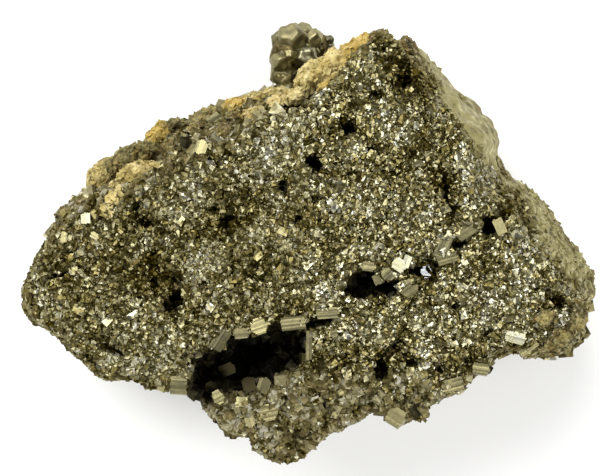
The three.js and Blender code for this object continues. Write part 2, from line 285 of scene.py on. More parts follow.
@dataclass(frozen=True)
class PyriteFinish:
    """Metallic pyrite, from pale fresh brass to dark tarnished bronze.

    The tone of a piece is its "tone" attribute, 0 dark to 1 bright. "stain" is its cover of
    limonite dust, "vug" how deep in a cavity it lies, where the colour is painted nearly black as shade,
    "skin" its share of smooth olive crust, whose colour mottles from painted shade to painted golden
    highlights, "tarnish" how much darker or brighter its part of the stone is, the darkest patches
    being painted shade over small pits and gaps, and "gap" where grains fell out, which is painted
    darker as shade.
    """

    name: str
    dark: Colour = (0.022, 0.016, 0.002)
    bronze: Colour = (0.148, 0.124, 0.042)
    brass: Colour = (0.305, 0.284, 0.165)
    pale: Colour = (0.465, 0.457, 0.392)
    edge: Colour = (0.72, 0.66, 0.46)
    olive: Colour = (0.30, 0.272, 0.114)
    olive_shadow: Colour = (0.085, 0.072, 0.022)
    # A painted highlight: the colour of the crust's golden spots.
    gold_highlight: Colour = (0.62, 0.58, 0.34)
    stain: Colour = (0.155, 0.125, 0.052)
    # Painted shade: the colour deep in cavities and pits.
    cavity: Colour = (0.012, 0.010, 0.006)
    roughness: tuple[float, float] = (0.20, 0.44)
    facet_size: float = 0.42 * MM
    facet_tilt: float = 0.5
    tone_spread: float = 0.55
    tone_shift: float = 0.0

    def make(self) -> bpy.types.Material:
        """Builds the material.

        Returns:
            The material.
        """
        material, tree, shader, place = new_material(self.name)
        share = tree.marks("tone", "stain", "vug", "skin", "tarnish", "gap")
        facets = tree.cells(place, self.facet_size)
        facet_tone = tree.value("ShaderNodeSeparateXYZ", 0, None, {0: facets.outputs["Color"]})
        patches = tree.noise(place, 7 * MM, 4.0)
        tone = (share["tone"] - 0.5) * self.tone_spread + (facet_tone - 0.5) * 0.35 + (patches - 0.5) * 0.9
        # Painted shade: the gaps make the tone darker, and so do the dark patches over small pits.
        tone = (tone + 0.45 + share["tarnish"] - share["gap"] * 0.3 + self.tone_shift).clamped()
        metal = tree.ramp(tone, [(0.0, self.dark), (0.3, self.bronze), (0.62, self.brass), (0.95, self.pale)])
        # Painted light and shade on the crust: its colour mottles from painted shade to painted golden
        # highlights.
        film = tree.ramp(tree.noise(place, 1.5 * MM, 3.0), [
            (0.34, self.olive_shadow), (0.46, self.olive), (0.58, self.olive), (0.70, self.gold_highlight)])
        metal = tree.mixed(share["skin"] * 0.9, metal, film)
        dust = (tree.noise(place, 1.3 * MM, 3.0).between(0.62, 0.42) * 1.6 * share["stain"]).at_most(1.0)
        colour = tree.mixed(dust, metal, self.stain)
        # Painted shade: deep in cavities and pits the colour goes nearly black.
        colour = tree.mixed(share["vug"] * 0.92, colour, self.cavity)
        tree.feed(shader.inputs["Base Color"], colour)
        tree.feed(shader.inputs["Specular Tint"], opaque(self.edge))
        tree.feed(shader.inputs["Metallic"], (1.0 - dust) * (1.0 - share["skin"] * 0.72))
        low, high = self.roughness
        gloss = low + (high - low) * (1.0 - facet_tone)
        rough = (gloss + dust * 0.45 + share["vug"] * 0.3 + share["skin"] * 0.08).at_most(0.95)
        tree.feed(shader.inputs["Roughness"], rough)
        tree.feed(shader.inputs["Normal"], self._facet_normal(tree, facets, share["skin"]))
        return material

    def _facet_normal(self, tree: Tree, facets: bpy.types.Node, skin: Value) -> bpy.types.NodeSocket:
        """Turns the normal of each cell a little, as the facets of broken grains do.

        Args:
            tree: The material's tree.
            facets: The cells.
            skin: The share of smooth crust, which has fewer facets.

        Returns:
            The normal.
        """
        centred = tree.vector("SUBTRACT", facets.outputs["Color"], (0.5, 0.5, 0.5))
        turn = tree.scaled(centred, self.facet_tilt * (1.0 - skin * 0.85))
        place = tree.node("ShaderNodeTexCoord").outputs["Object"]
        normal = tree.bump(0.9, 0.5 * MM, skin * tree.noise(place, 1.1 * MM, 4.0))
        return tree.vector("NORMALIZE", tree.vector("ADD", normal, turn))


@dataclass(frozen=True)
class CrystalFinish:
    """Larger pyrite crystals: satin faces with small pits painted dark as shade. "tone" is 0 dark to 1
    bright.
    """

    name: str
    roughness: tuple[float, float] = (0.16, 0.36)
    # The colour of the painted shade in the pits.
    pit: Colour = (0.05, 0.04, 0.02)
    # Tones from painted shade, dark, to painted highlight, bright, on one pyrite.
    tones: tuple[tuple[float, Colour], ...] = (
        (0.08, (0.030, 0.025, 0.012)), (0.32, (0.155, 0.144, 0.080)), (0.48, (0.27, 0.240, 0.119)),
        (0.70, (0.29, 0.268, 0.136)), (0.88, (0.29, 0.28, 0.192)), (1.0, (0.25, 0.262, 0.27)))

    def make(self) -> bpy.types.Material:
        """Builds the material.

        Returns:
            The material.
        """
        material, tree, shader, place = new_material(self.name)
        tone = tree.marks("tone")["tone"]
        cloud = tree.noise(place, 1.6 * MM, 4.0)
        shade = (tone + (cloud - 0.5) * 0.35).clamped()
        colour = tree.ramp(shade, self.tones)
        # Painted shade in small pits.
        pit_shade = tree.noise(place, 0.35 * MM, 2.0).between(0.62, 0.72) * 0.5
        colour = tree.mixed(pit_shade, colour, self.pit)
        tree.feed(shader.inputs["Base Color"], colour)
        tree.feed(shader.inputs["Metallic"], 1.0)
        low, high = self.roughness
        tree.feed(shader.inputs["Roughness"], low + (high - low) * (1.25 - tone) + pit_shade * 0.3)
        tree.feed(shader.inputs["Normal"], tree.bump(0.25, 0.05 * MM, tree.noise(place, 0.5 * MM, 3.0)))
        return material


@dataclass(frozen=True)
class HostRockFinish:
    """Limonite-stained rock: sandy, dull olive to cream, ochre in places, with metallic specks."""

    name: str
    shadow: Colour = (0.030, 0.022, 0.007)
    dull: Colour = (0.135, 0.118, 0.046)
    tan: Colour = (0.37, 0.305, 0.112)
    cream: Colour = (0.68, 0.58, 0.29)
    ochre: Colour = (0.46, 0.315, 0.065)
    vein: Colour = (0.17, 0.10, 0.022)
    metal: Colour = (0.42, 0.38, 0.24)
    roughness: float = 0.62
    sheen: float = 0.12
    glitter: float = 0.12

    def make(self) -> bpy.types.Material:
        """Builds the material.

        Returns:
            The material.
        """
        material, tree, shader, place = new_material(self.name)
        warmth, pale = tree.marks("warmth", "pale").values()
        broad = tree.noise(place, 2.6 * MM, 3.0)
        sand = tree.noise(place, 0.45 * MM, 3.0)
        shade = (pale + (broad - 0.5) * 1.3 + (sand - 0.5) * 0.9).clamped()
        base = tree.ramp(shade, [(0.0, self.shadow), (0.22, self.dull), (0.58, self.tan), (1.0, self.cream)])
        orange = warmth * 1.15 + (tree.noise(place, 1.7 * MM, 3.0) - 0.5) * 1.3 - 0.15
        colour = tree.mixed(orange.at_least(0.0).at_most(0.85), base, self.ochre)
        # Painted shade: small pits darkened with the shadow colour.
        pits = tree.noise(place, 1.1 * MM, 2.0).between(0.38, 0.30)
        colour = tree.mixed(pits * 0.8, colour, self.shadow)
        off_vein = tree.noise(place, 3.4 * MM, 3.0) - 0.5
        colour = tree.mixed((off_vein * off_vein).between(0.0012, 0.0002) * 0.4, colour, self.vein)
        speck = tree.noise(place, 0.6 * MM, 1.0).between(0.60, 0.64) * self.glitter
        colour = tree.mixed(speck, colour, self.metal)
        tree.feed(shader.inputs["Base Color"], colour)
        tree.feed(shader.inputs["Metallic"], speck)
        tree.feed(shader.inputs["Roughness"], self.roughness - speck * 0.3)
        tree.feed(shader.inputs["Specular IOR Level"], self.sheen)
        tree.feed(shader.inputs["Normal"], tree.bump(0.8, 0.14 * MM, sand))
        return material


@dataclass(frozen=True)
class FloorFinish:
    """Plain pale paper."""

    name: str = "pale_paper"
    colour: Colour = (0.93, 0.93, 0.92)
    roughness: float = 0.9

    def make(self) -> bpy.types.Material:
        """Builds the material.

        Returns:
            The material.
        """
        material, tree, shader, _ = new_material(self.name)
        tree.feed(shader.inputs["Base Color"], opaque(self.colour))
        tree.feed(shader.inputs["Roughness"], self.roughness)
        return material


# ---------------------------------------------------------------- the stone as packed


@dataclass
class Stone:
    """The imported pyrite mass, and places on it.

    Places are millimetres from the middle of the stone seen from above, at its designed length,
    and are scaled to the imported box. Rays start a little above the stone, and rim_height is the
    share of its height that stands in where they miss it.
    """

    designed_length: float = 79.7 * MM
    designed_height_mm: float = 36.2
    above: float = 5 * MM
    rim_height: float = 0.7
    low: Vector = field(init=False)
    high: Vector = field(init=False)
    middle: Vector = field(init=False)
    scale: float = field(init=False)
    surface: BVHTree = field(init=False)

    def __post_init__(self) -> None:
        """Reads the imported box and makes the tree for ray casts."""
        self.low, self.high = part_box(MASS)
        self.middle = (self.low + self.high) / 2
        self.scale = (self.high.x - self.low.x) / self.designed_length
        shape = bmesh.new()
        shape.from_mesh(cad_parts[MASS].data)
        self.surface = BVHTree.FromBMesh(shape)
        shape.free()

    @property
    def height(self) -> float:
        """The stone's height."""
        return self.high.z - self.low.z

    def place(self, x: float, y: float) -> Vector:
        """The point at rest height that lies x mm to the right of the middle, and y mm to the knob."""
        return Vector((self.middle.x + x * MM * self.scale, self.middle.y + y * MM * self.scale, self.low.z))

    def ground(self, x: float, y: float) -> Vector:
        """The highest point of the surface at a place.

        Args:
            x: As for place().
            y: As for place().

        Returns:
            The point, or one at the usual rim height where the place is off the stone.
        """
        start = self.place(x, y)
        start.z = self.high.z + self.above
        point = self.surface.ray_cast(start, Vector((0, 0, -1)))[0]
        if point is None:
            start.z = self.low.z + self.rim_height * self.height
            return start
        return point


def rows(vectors: bpy.types.bpy_prop_collection, name: str) -> np.ndarray:
    """The vectors of a mesh, one row each.

    Args:
        vectors: The mesh's vertices or vertex normals.
        name: "co" for vertices, "vector" for normals.

    Returns:
        The rows.
    """
    flat = np.zeros(len(vectors) * 3, np.float32)
    vectors.foreach_get(name, flat)
    return flat.reshape(-1, 3)


def step(values: np.ndarray, low: float, high: float) -> np.ndarray:
    """A smooth step from 0 at low to 1 at high, which may lie below low."""
    share = np.clip((values - low) / (high - low), 0, 1)
    return share * share * (3 - 2 * share)


def turned(x: np.ndarray, y: np.ndarray, degrees: float) -> tuple[np.ndarray, np.ndarray]:
    """Distances along and across a direction that is turned by an angle."""
    turn = math.radians(degrees)
    return x * math.cos(turn) + y * math.sin(turn), y * math.cos(turn) - x * math.sin(turn)


def widest(shares: Iterable[np.ndarray]) -> np.ndarray:
    """The largest of several shares, point by point."""
    return np.maximum.reduce(list(shares))


def distances_to_rock(points: np.ndarray) -> np.ndarray:
    """How far points lie from the nearest packed host rock.

    Args:
        points: One point each row.

    Returns:
        One distance for each point, in metres.
    """
    corners = [v.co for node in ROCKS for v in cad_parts[node].data.vertices]
    tree = KDTree(len(corners))
    for index, corner in enumerate(corners):
        tree.insert(corner, index)
    tree.balance()
    return np.array([tree.find(point)[2] for point in points.tolist()])


def waves(points: np.ndarray, size: float) -> np.ndarray:
    """Smooth noise at each point, from about -1 to 1, with features of a size in metres."""
    return np.array([noise.noise(Vector(point) / size) for point in points.tolist()])


def set_attribute(mesh: bpy.types.Mesh, name: str, values: np.ndarray) -> None:
    """Stores a number for each vertex under a name."""
    attribute = mesh.attributes.get(name) or mesh.attributes.new(name, "FLOAT", "POINT")
    attribute.data.foreach_set("value", np.ascontiguousarray(values, np.float32))


def linked(name: str, mesh: bpy.types.Mesh) -> bpy.types.Object:
    """Puts a mesh into the scene.

    Args:
        name: The object's name.
        mesh: Its mesh.

    Returns:
        The object.
    """
    made = bpy.data.objects.new(name, mesh)
    bpy.context.scene.collection.objects.link(made)
    return made


def merged_copy(node: str, name: str) -> bpy.types.Object:
    """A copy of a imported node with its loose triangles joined.

    Args:
        node: The node.
        name: The copy's name.

    Returns:
        The copy.
    """
    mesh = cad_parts[node].data.copy()
    shape = bmesh.new()
    shape.from_mesh(mesh)
    bmesh.ops.remove_doubles(shape, verts=shape.verts, dist=1e-7)
    shape.to_mesh(mesh)
    shape.free()
    mesh.materials.clear()
    return linked(name, mesh)


def applied(piece: bpy.types.Object, name: str) -> bpy.types.Object:
    """A plain copy of a piece as its modifiers leave it.

    Args:
        piece: The piece with modifiers.
        name: The new piece's name.

    Returns:
        The plain piece.
    """
    graph = bpy.context.evaluated_depsgraph_get()
    mesh = bpy.data.meshes.new_from_object(
        piece.evaluated_get(graph), preserve_all_data_layers=True, depsgraph=graph)
    mesh.name = name
    return linked(name, mesh)


def discard(piece: bpy.types.Object) -> None:
    """Removes a piece that was only needed on the way.

    Args:
        piece: The piece.
    """
    mesh = piece.data
    bpy.data.objects.remove(piece)
    bpy.data.meshes.remove(mesh)


def even_out(piece: bpy.types.Object, voxel: float) -> None:
    """Adds a remesh that gives a piece even faces and one skin.

    Args:
        piece: The piece.
        voxel: The faces' size in metres.
    """
    remesh = piece.modifiers.new("even", "REMESH")
    remesh.mode = "VOXEL"
    remesh.voxel_size = voxel


def shown(piece: bpy.types.Object) -> bpy.types.Object:
    """Declares a finished piece and reports it.

    Args:
        piece: The piece.

    Returns:
        The piece.
    """
    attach(piece, ROOT)
    piece.data.calc_loop_triangles()
    log.info("%s: %d triangles", piece.name, len(piece.data.loop_triangles))
    return piece


# ---------------------------------------------------------------- geometry trees


class GeometryTree(Tree):
    """A geometry node group with named inputs, for one modifier."""

    def __init__(self, name: str) -> None:
        """Makes a group that takes a geometry and gives one.

        Args:
            name: The group's name.
        """
        super().__init__(bpy.data.node_groups.new(name, "GeometryNodeTree"))
        self.identifiers: dict[str, str] = {}
        for way in ("INPUT", "OUTPUT"):
            self.tree.interface.new_socket("Geometry", in_out=way, socket_type="NodeSocketGeometry")
        self.entry = self.tree.nodes.new("NodeGroupInput")
        self.exit = self.tree.nodes.new("NodeGroupOutput")

    @property
    def geometry(self) -> bpy.types.NodeSocket:
        """The geometry that comes in."""
        return self.entry.outputs["Geometry"]

    def input(self, name: str, kind: str = "Float") -> Value:
        """Adds a named input.

        Args:
            name: Its name.
            kind: Its socket type, such as Float, Int, String or Material.

        Returns:
            The input.
        """
        socket = self.tree.interface.new_socket(name, in_out="INPUT", socket_type=f"NodeSocket{kind}")
        self.identifiers[name] = socket.identifier
        return Value(self, self.entry.outputs[name])

    def finish(self, geometry: object, material: object, smooth: bool) -> None:
        """Ends the tree: real geometry, its shading and its material.

        Args:
            geometry: The geometry's socket.
            material: The material's socket.
            smooth: Whether it is shaded smooth.
        """
        real = self.node("GeometryNodeRealizeInstances", None, {"Geometry": geometry})
        shaded = self.node("GeometryNodeSetShadeSmooth", None,
                           {"Geometry": real.outputs[0], "Shade Smooth": smooth})
        painted = self.node("GeometryNodeSetMaterial", None,
                            {"Geometry": shaded.outputs[0], "Material": material})
        self.feed(self.exit.inputs["Geometry"], painted.outputs[0])

    def marks(self, *names: str) -> dict[str, Value]:
        """The numbers that the points store under these names."""
        kind = "GeometryNodeInputNamedAttribute"
        return {name: self.value(kind, 0, None, {"Name": name}) for name in names}

    def moved(self, geometry: bpy.types.NodeSocket, offset: object) -> bpy.types.NodeSocket:
        """A geometry with its points moved by an offset."""
        return self.node("GeometryNodeSetPosition", None, {"Geometry": geometry, "Offset": offset}).outputs[0]

    def where(self) -> tuple[bpy.types.NodeSocket, bpy.types.NodeSocket]:
        """The places and the normals of the points."""
        return tuple(self.node(f"GeometryNodeInput{kind}").outputs[0] for kind in ("Position", "Normal"))

    def put_on(self, piece: bpy.types.Object, settings: dict[str, object]) -> None:
        """Adds the tree to a piece as a modifier.

        Args:
            piece: The piece.
            settings: The named inputs.
        """
        modifier = piece.modifiers.new(self.tree.name, "NODES")
        modifier.node_group = self.tree
        for name, setting in settings.items():
            modifier[self.identifiers[name]] = setting


def relief_tree() -> GeometryTree:
    """A tree that gives a stone's skin its relief.

    Returns:
        The tree. Its inputs scale the blocky relief of the flanks, the granular relief of the
        broken face and the rounded relief of the smooth crust.
    """
    tree = GeometryTree("stone_relief")
    blocky = tree.input("Blocky relief")
    granular = tree.input("Granular relief")
    rounded = tree.input("Rounded relief")
    material = tree.input("Material", "Material")
    place, normal = tree.where()
    share = tree.marks("face", "skin", "base", "gap", "pit", "grown")
    flank = (1.0 - share["face"]) * (1.0 - share["skin"])
    wobble = tree.scaled(
        tree.vector("SUBTRACT", tree.noise(place, 5 * MM, 1.0, 1), (0.5, 0.5, 0.5)), 3 * MM)
    bent = tree.vector("ADD", place, wobble)
    blocks = tree.off_centre(bent, 3.4 * MM)
    chips = tree.off_centre(bent, 1.3 * MM)
    lumps = tree.noise(place, 9 * MM, 2.0) - 0.5
    grains = tree.off_centre(place, 0.9 * MM)
    hollows = tree.noise(place, 3.4 * MM, 3.0).between(0.44, 0.28)
    nodules = tree.off_centre(bent, 2.1 * MM, "SMOOTH_F1")
    beads = tree.off_centre(place, 0.95 * MM, "SMOOTH_F1")
    swell = tree.noise(place, 6 * MM, 2.0) - 0.5
    push = flank * blocky * (lumps * 2.6 - blocks * 1.1 - chips * 0.45 + 0.30)
    push = push + share["face"] * granular * (
        0.4 - grains * 0.9 - hollows * 2.4 + lumps * 0.9 - share["gap"] * 3.6)
    push = push + share["skin"] * rounded * (
        0.95 + swell * 2.8 - nodules * nodules * 3.0 - beads * beads * 0.3)
    push = (push - share["pit"] * granular * 4.0) * (1.0 - share["base"]) * (1.0 - share["grown"])
    moved = tree.moved(tree.geometry, tree.scaled(normal, push))
    dimples = (tree.noise(place, 2.5 * MM, 3.0).between(0.45, 0.66) * 0.6 + 0.25) * share["base"] * MM
    tree.finish(tree.moved(moved, tree.combined(0.0, 0.0, dimples)), material, True)
    return tree


def grain_tree(shapes: int = 5) -> GeometryTree:
    """A tree that strews irregular grains over a surface.

    Args:
        shapes: How many shapes of grain there are.

    Returns:
        The tree. Its inputs are the attribute that says where grains lie, their spacing, sizes,
        flatness, lean, sinking and crowding, the seed and the material.
    """
    tree = GeometryTree("grains")
    region = tree.input("Region", "String")
    spacing, smallest, largest, flatness, lean, sinking, crowding = (
        tree.input(name)
        for name in ("Spacing", "Smallest", "Largest", "Flatness", "Lean", "Sinking", "Crowding"))
    seed = tree.input("Seed", "Int")
    material = tree.input("Material", "Material")
    share = tree.value("GeometryNodeInputNamedAttribute", 0, None, {"Name": region})
    points = tree.node(
        "GeometryNodeDistributePointsOnFaces", {"distribute_method": "POISSON"},
        {"Mesh": tree.geometry, "Distance Min": spacing, "Density Max": crowding,
         "Density Factor": share, "Seed": seed})
    variants = [irregular_block(tree, shape) for shape in range(shapes)]
    kinds = tree.node("GeometryNodeGeometryToInstance", None, {0: variants})
    tip = tree.combined(lean, lean, 2 * math.pi)
    back = tree.combined(0.0 - lean, 0.0 - lean, 0.0)
    turn = random_value(tree, "FLOAT_VECTOR", back, tip, seed, 1)
    spin = tree.node("FunctionNodeEulerToRotation", None, {0: turn})
    facing = tree.node("FunctionNodeRotateRotation", {"rotation_space": "LOCAL"},
                       {0: points.outputs["Rotation"], 1: spin.outputs[0]})
    size = random_value(tree, "FLOAT", smallest, largest, seed, 2)
    wide = random_value(tree, "FLOAT_VECTOR", (0.62, 0.62, 0.7), (1.42, 1.42, 1.25), seed, 3)
    shape = tree.scaled(tree.vector("MULTIPLY", wide, tree.combined(1.0, 1.0, flatness)), size)
    choice = random_value(tree, "INT", 0, shapes - 1, seed, 4)
    grains = tree.node(
        "GeometryNodeInstanceOnPoints", None,
        {"Points": points.outputs["Points"], "Instance": kinds.outputs[0], "Pick Instance": True,
         "Instance Index": choice, "Rotation": facing.outputs[0], "Scale": shape})
    sunk = tree.node("GeometryNodeTranslateInstances", None, {
        "Instances": grains.outputs[0], "Translation": tree.combined(0.0, 0.0, 0.0 - size * sinking)})
    tone = random_value(tree, "FLOAT", 0.0, 1.0, seed, 5)
    toned = tree.node("GeometryNodeStoreNamedAttribute", {"data_type": "FLOAT", "domain": "INSTANCE"},
                      {"Geometry": sunk.outputs[0], "Name": "tone", "Value": tone})
    real = tree.node("GeometryNodeRealizeInstances", None, {"Geometry": toned.outputs[0]})
    tree.finish(kept_above_rest(tree, real.outputs[0]), material, False)
    return tree


@dataclass(frozen=True)
class Strewing:
    """How grains are strewn over a region, with lengths in millimetres.

    flat is a grain's height in parts of its size, lean how far it turns off the surface in
    radians, sink how deep it lies in parts of its size, and crowd the most grains to a square metre.
    """

    region: str
    spacing: float
    smallest: float
    largest: float
    flat: float
    lean: float
    sink: float
    crowd: float
    seed: int

    def over(self, ground: bpy.types.Object, name: str, tree: GeometryTree,
             material: bpy.types.Material) -> bpy.types.Object:
        """Strews the grains.

        Args:
            ground: The piece that they lie on.
            name: The grains' name.
            tree: The tree that strews grains.
            material: Their finish.

        Returns:
            The grains.
        """
        carrier = linked(name + "_carrier", ground.data)
        tree.put_on(carrier, {
            "Region": self.region, "Spacing": self.spacing * MM, "Smallest": self.smallest * MM,
            "Largest": self.largest * MM, "Flatness": self.flat, "Lean": self.lean,
            "Sinking": self.sink, "Crowding": self.crowd, "Seed": self.seed, "Material": material})
        grains = applied(carrier, name)
        bpy.data.objects.remove(carrier)
        return grains


def random_value(tree: Tree, kind: str, low: object, high: object, seed: Value, stream: int) -> Value:
    """A random value for each element.

    Args:
        tree: The tree.
        kind: FLOAT, FLOAT_VECTOR or INT.
        low: The smallest value.
        high: The largest value.
        seed: The scatter's seed.
        stream: A number that sets this value's draws apart from others.

    Returns:
        The value.
    """
    first, output = {"FLOAT_VECTOR": (0, 0), "FLOAT": (2, 1), "INT": (4, 2)}[kind]
    return tree.value("FunctionNodeRandomValue", output, {"data_type": kind},
                      {first: low, first + 1: high, "Seed": seed * 16 + stream})


def irregular_block(tree: GeometryTree, shape: int) -> bpy.types.NodeSocket:
    """A unit block with its corners moved at random.

    Args:
        tree: The tree.
        shape: The block's number, which seeds its corners.

    Returns:
        The block's geometry.
    """
    block = tree.node("GeometryNodeMeshCube", None, {"Size": (1.0, 1.0, 1.0)})
    spread = 0.17
    shift = tree.value("FunctionNodeRandomValue", 0, {"data_type": "FLOAT_VECTOR"},
                       {0: (-spread,) * 3, 1: (spread,) * 3, "Seed": 100 + shape})
    return tree.moved(block.outputs["Mesh"], shift)


def kept_above_rest(tree: Tree, geometry: bpy.types.NodeSocket) -> bpy.types.NodeSocket:
    """Moves what would reach below the resting face up to it.

    Args:
        tree: The tree.
        geometry: The geometry.

    Returns:
        The geometry, all of it above rest.
    """
    place = tree.node("GeometryNodeInputPosition").outputs[0]
    parts = tree.node("ShaderNodeSeparateXYZ", None, {0: place})
    height = Value(tree, parts.outputs[2]).at_least(0.0)
    lifted = tree.combined(parts.outputs[0], parts.outputs[1], height)
    return tree.node("GeometryNodeSetPosition", None, {"Geometry": geometry, "Position": lifted}).outputs[0]


# ---------------------------------------------------------------- places on the stone


class Look(Enum):
    """How bright a crystal looks: its tone, and the degrees that it leans towards the key light. The
    tones are lit and shaded versions of one pyrite, so they paint light and shade.
    """

    MIRROR = (1.0, 10.0)
    CREAM = (0.86, 9.5)
    BRASS = (0.62, 8.5)
    TAN = (0.50, 7.0)
    KHAKI = (0.42, 5.2)
    GREY = (0.36, 3.5)
    DARK = (0.10, -6.0)


@dataclass(frozen=True)
class Crystal:
    """A striated block that stands out of the mass.

    x and y are the middle of its outer face, across, up and deep its size, in millimetres. turn
    is its turn seen from above and striae the direction of its grooves from its own long side,
    in degrees. taper is 0 for a straight block and up to 1 for one with cut corners. sunk is how
    far below the rim it stands, for one inside a cavity.
    """

    x: float
    y: float
    across: float
    up: float
    deep: float
    turn: float
    look: Look
    striae: float = 0.0
    taper: float = 0.0
    sunk: float = 0.0

    def share(self, x: np.ndarray, y: np.ndarray) -> np.ndarray:
        """How much points lie in its outline.

        Args:
            x: Millimetres to the right of the stone's middle.
            y: Millimetres towards the knob.

        Returns:
            1 inside the outline and 0 outside.
        """
        along, across = turned(x - self.x, y - self.y, self.turn)
        inset = 0.02 if self.look in (Look.MIRROR, Look.CREAM) else 0.22
        outside = np.maximum(abs(along) - self.across / 2 + inset, abs(across) - self.up / 2 + inset)
        return step(outside, 0.25, 0.0)


CRYSTALS = tuple(Crystal(*row) for row in (
    (-18.0, -19.1, 2.4, 3.4, 3.5, -3, Look.KHAKI),
    (-20.1, -19.4, 1.8, 2.2, 3.0, -28, Look.TAN, 0, 0.5),
    (-12.3, -13.4, 3.0, 1.7, 3.0, 58, Look.GREY),
    (-9.4, -12.5, 2.3, 1.3, 2.5, 5, Look.KHAKI, 0, 0.5),
    (-7.0, -11.5, 2.5, 2.2, 2.5, 18, Look.TAN, 0, 0.6),
    (-2.3, -11.1, 3.3, 1.7, 3.0, 6, Look.KHAKI),
    (2.4, -9.7, 3.0, 1.4, 2.5, 4, Look.KHAKI),
    (-0.1, -14.2, 0.8, 4.0, 5.0, -1, Look.KHAKI, 90),
    (3.3, -12.6, 1.2, 1.3, 2.0, 20, Look.KHAKI, 0, 0.6),
    (0.7, -12.7, 0.9, 1.0, 2.0, 0, Look.KHAKI, 0, 0.5),
    (-12.6, -21.3, 1.7, 1.9, 3.0, 28, Look.BRASS, 0, 0.5),
    (-9.4, -21.9, 1.6, 1.5, 3.0, 2, Look.BRASS, 90),
    (-6.3, -19.6, 1.6, 2.2, 3.0, -18, Look.KHAKI, 90, 0.5),
    (-5.7, -23.4, 2.6, 2.2, 2.5, 12, Look.TAN, 0, 0.6),
    (-8.2, -24.6, 1.3, 1.9, 2.5, 15, Look.TAN, 90, 0.5),
    (-1.6, -22.6, 1.6, 1.1, 2.0, 35, Look.TAN, 0, 0.5),
    (8.0, -3.3, 2.3, 1.2, 2.5, -8, Look.KHAKI, 0, 0.6),
    (10.9, -4.1, 2.4, 2.0, 2.5, 40, Look.GREY, 0, 0.7),
    (9.4, -5.0, 1.3, 1.6, 3.0, 24, Look.KHAKI, 90),
    (8.3, -6.2, 1.0, 1.1, 3.0, 10, Look.KHAKI),
    (12.3, -3.1, 2.1, 1.6, 3.0, -35, Look.CREAM, 0, 0.3),
    (13.3, -2.6, 1.0, 1.9, 3.0, -20, Look.CREAM, 90),
    (14.5, -3.9, 0.6, 0.8, 3.0, 0, Look.MIRROR, 0, 0.6),
    (16.0, -4.0, 1.6, 1.7, 3.5, 2, Look.MIRROR, 0, 0.5),
    (13.6, -6.3, 2.7, 2.0, 3.0, 38, Look.KHAKI, 0, 0.5),
    (18.9, -2.2, 3.0, 1.3, 2.5, 16, Look.KHAKI),
    (18.5, -0.3, 1.5, 2.9, 3.0, -24, Look.GREY, 90),
    (21.6, 1.6, 3.3, 1.6, 3.0, 32, Look.KHAKI, 0, 0.3),
    (21.2, -2.5, 1.1, 1.3, 2.5, 30, Look.CREAM, 0, 0.3),
    (26.1, 2.2, 1.3, 2.3, 3.0, 24, Look.TAN, 90),
    (28.3, -13.1, 3.0, 1.5, 3.0, -16, Look.CREAM, 0, 0.4),
    (30.1, -14.5, 3.0, 1.1, 3.0, 35, Look.KHAKI),
    (23.5, -17.4, 2.5, 1.5, 3.0, -8, Look.TAN, 0, 0.4),
    (19.7, -19.6, 3.2, 1.7, 3.0, 14, Look.KHAKI, 0, 0.3),
    (11.8, -24.0, 2.7, 2.4, 3.5, -32, Look.TAN, 0, 0.3),
    (14.8, -23.0, 2.0, 2.1, 3.0, 30, Look.DARK, 90),
    (-30.8, 3.3, 1.2, 1.7, 2.5, 4, Look.CREAM, 90, 0.2),
    (-33.8, 0.7, 0.8, 1.7, 2.5, -6, Look.BRASS, 90, 0.4),
    (-29.5, 0.9, 1.5, 0.8, 2.5, -30, Look.BRASS, 0, 0.4),
    (-13.4, 16.4, 2.9, 2.2, 3.0, 32, Look.GREY),
    (-17.0, 13.8, 1.4, 1.6, 2.5, 6, Look.DARK, 90),
    (-14.9, 13.1, 1.6, 2.1, 2.5, -20, Look.BRASS, 90, 0.4),
    (-20.2, 12.0, 2.4, 2.0, 3.0, 30, Look.KHAKI, 0, 0.5),
    (-20.3, 10.2, 1.2, 1.0, 2.0, -20, Look.BRASS, 0, 0.5),
    (-11.4, -17.6, 2.8, 1.6, 3.0, 30, Look.DARK, 0, 0.4, 5.0),
    (-13.6, -20.0, 2.0, 1.4, 3.0, -25, Look.DARK, 0, 0.5, 4.0),
    (-8.4, -19.6, 1.7, 2.4, 3.0, 12, Look.DARK, 90, 0.3, 4.2),
    (9.9, -7.6, 1.6, 1.2, 2.0, -15, Look.DARK, 0, 0.4, 0.9),
))


@dataclass(frozen=True)
class KnobCrystal:
    """A blunt crystal: middle in millimetres, height above rest, radius, turn and tone. The tones paint
    light and shade on one pyrite: the brightest are painted highlights, the darkest painted shade.
    """

    x: float
    y: float
    height: float
    radius: float
    turn: float
    tone: float = 0.45

    def distance(self, x: np.ndarray, y: np.ndarray, height: np.ndarray) -> np.ndarray:
        """How far points lie outside it, in millimetres."""
        return np.hypot(np.hypot(x - self.x, y - self.y), height - self.height) - self.radius


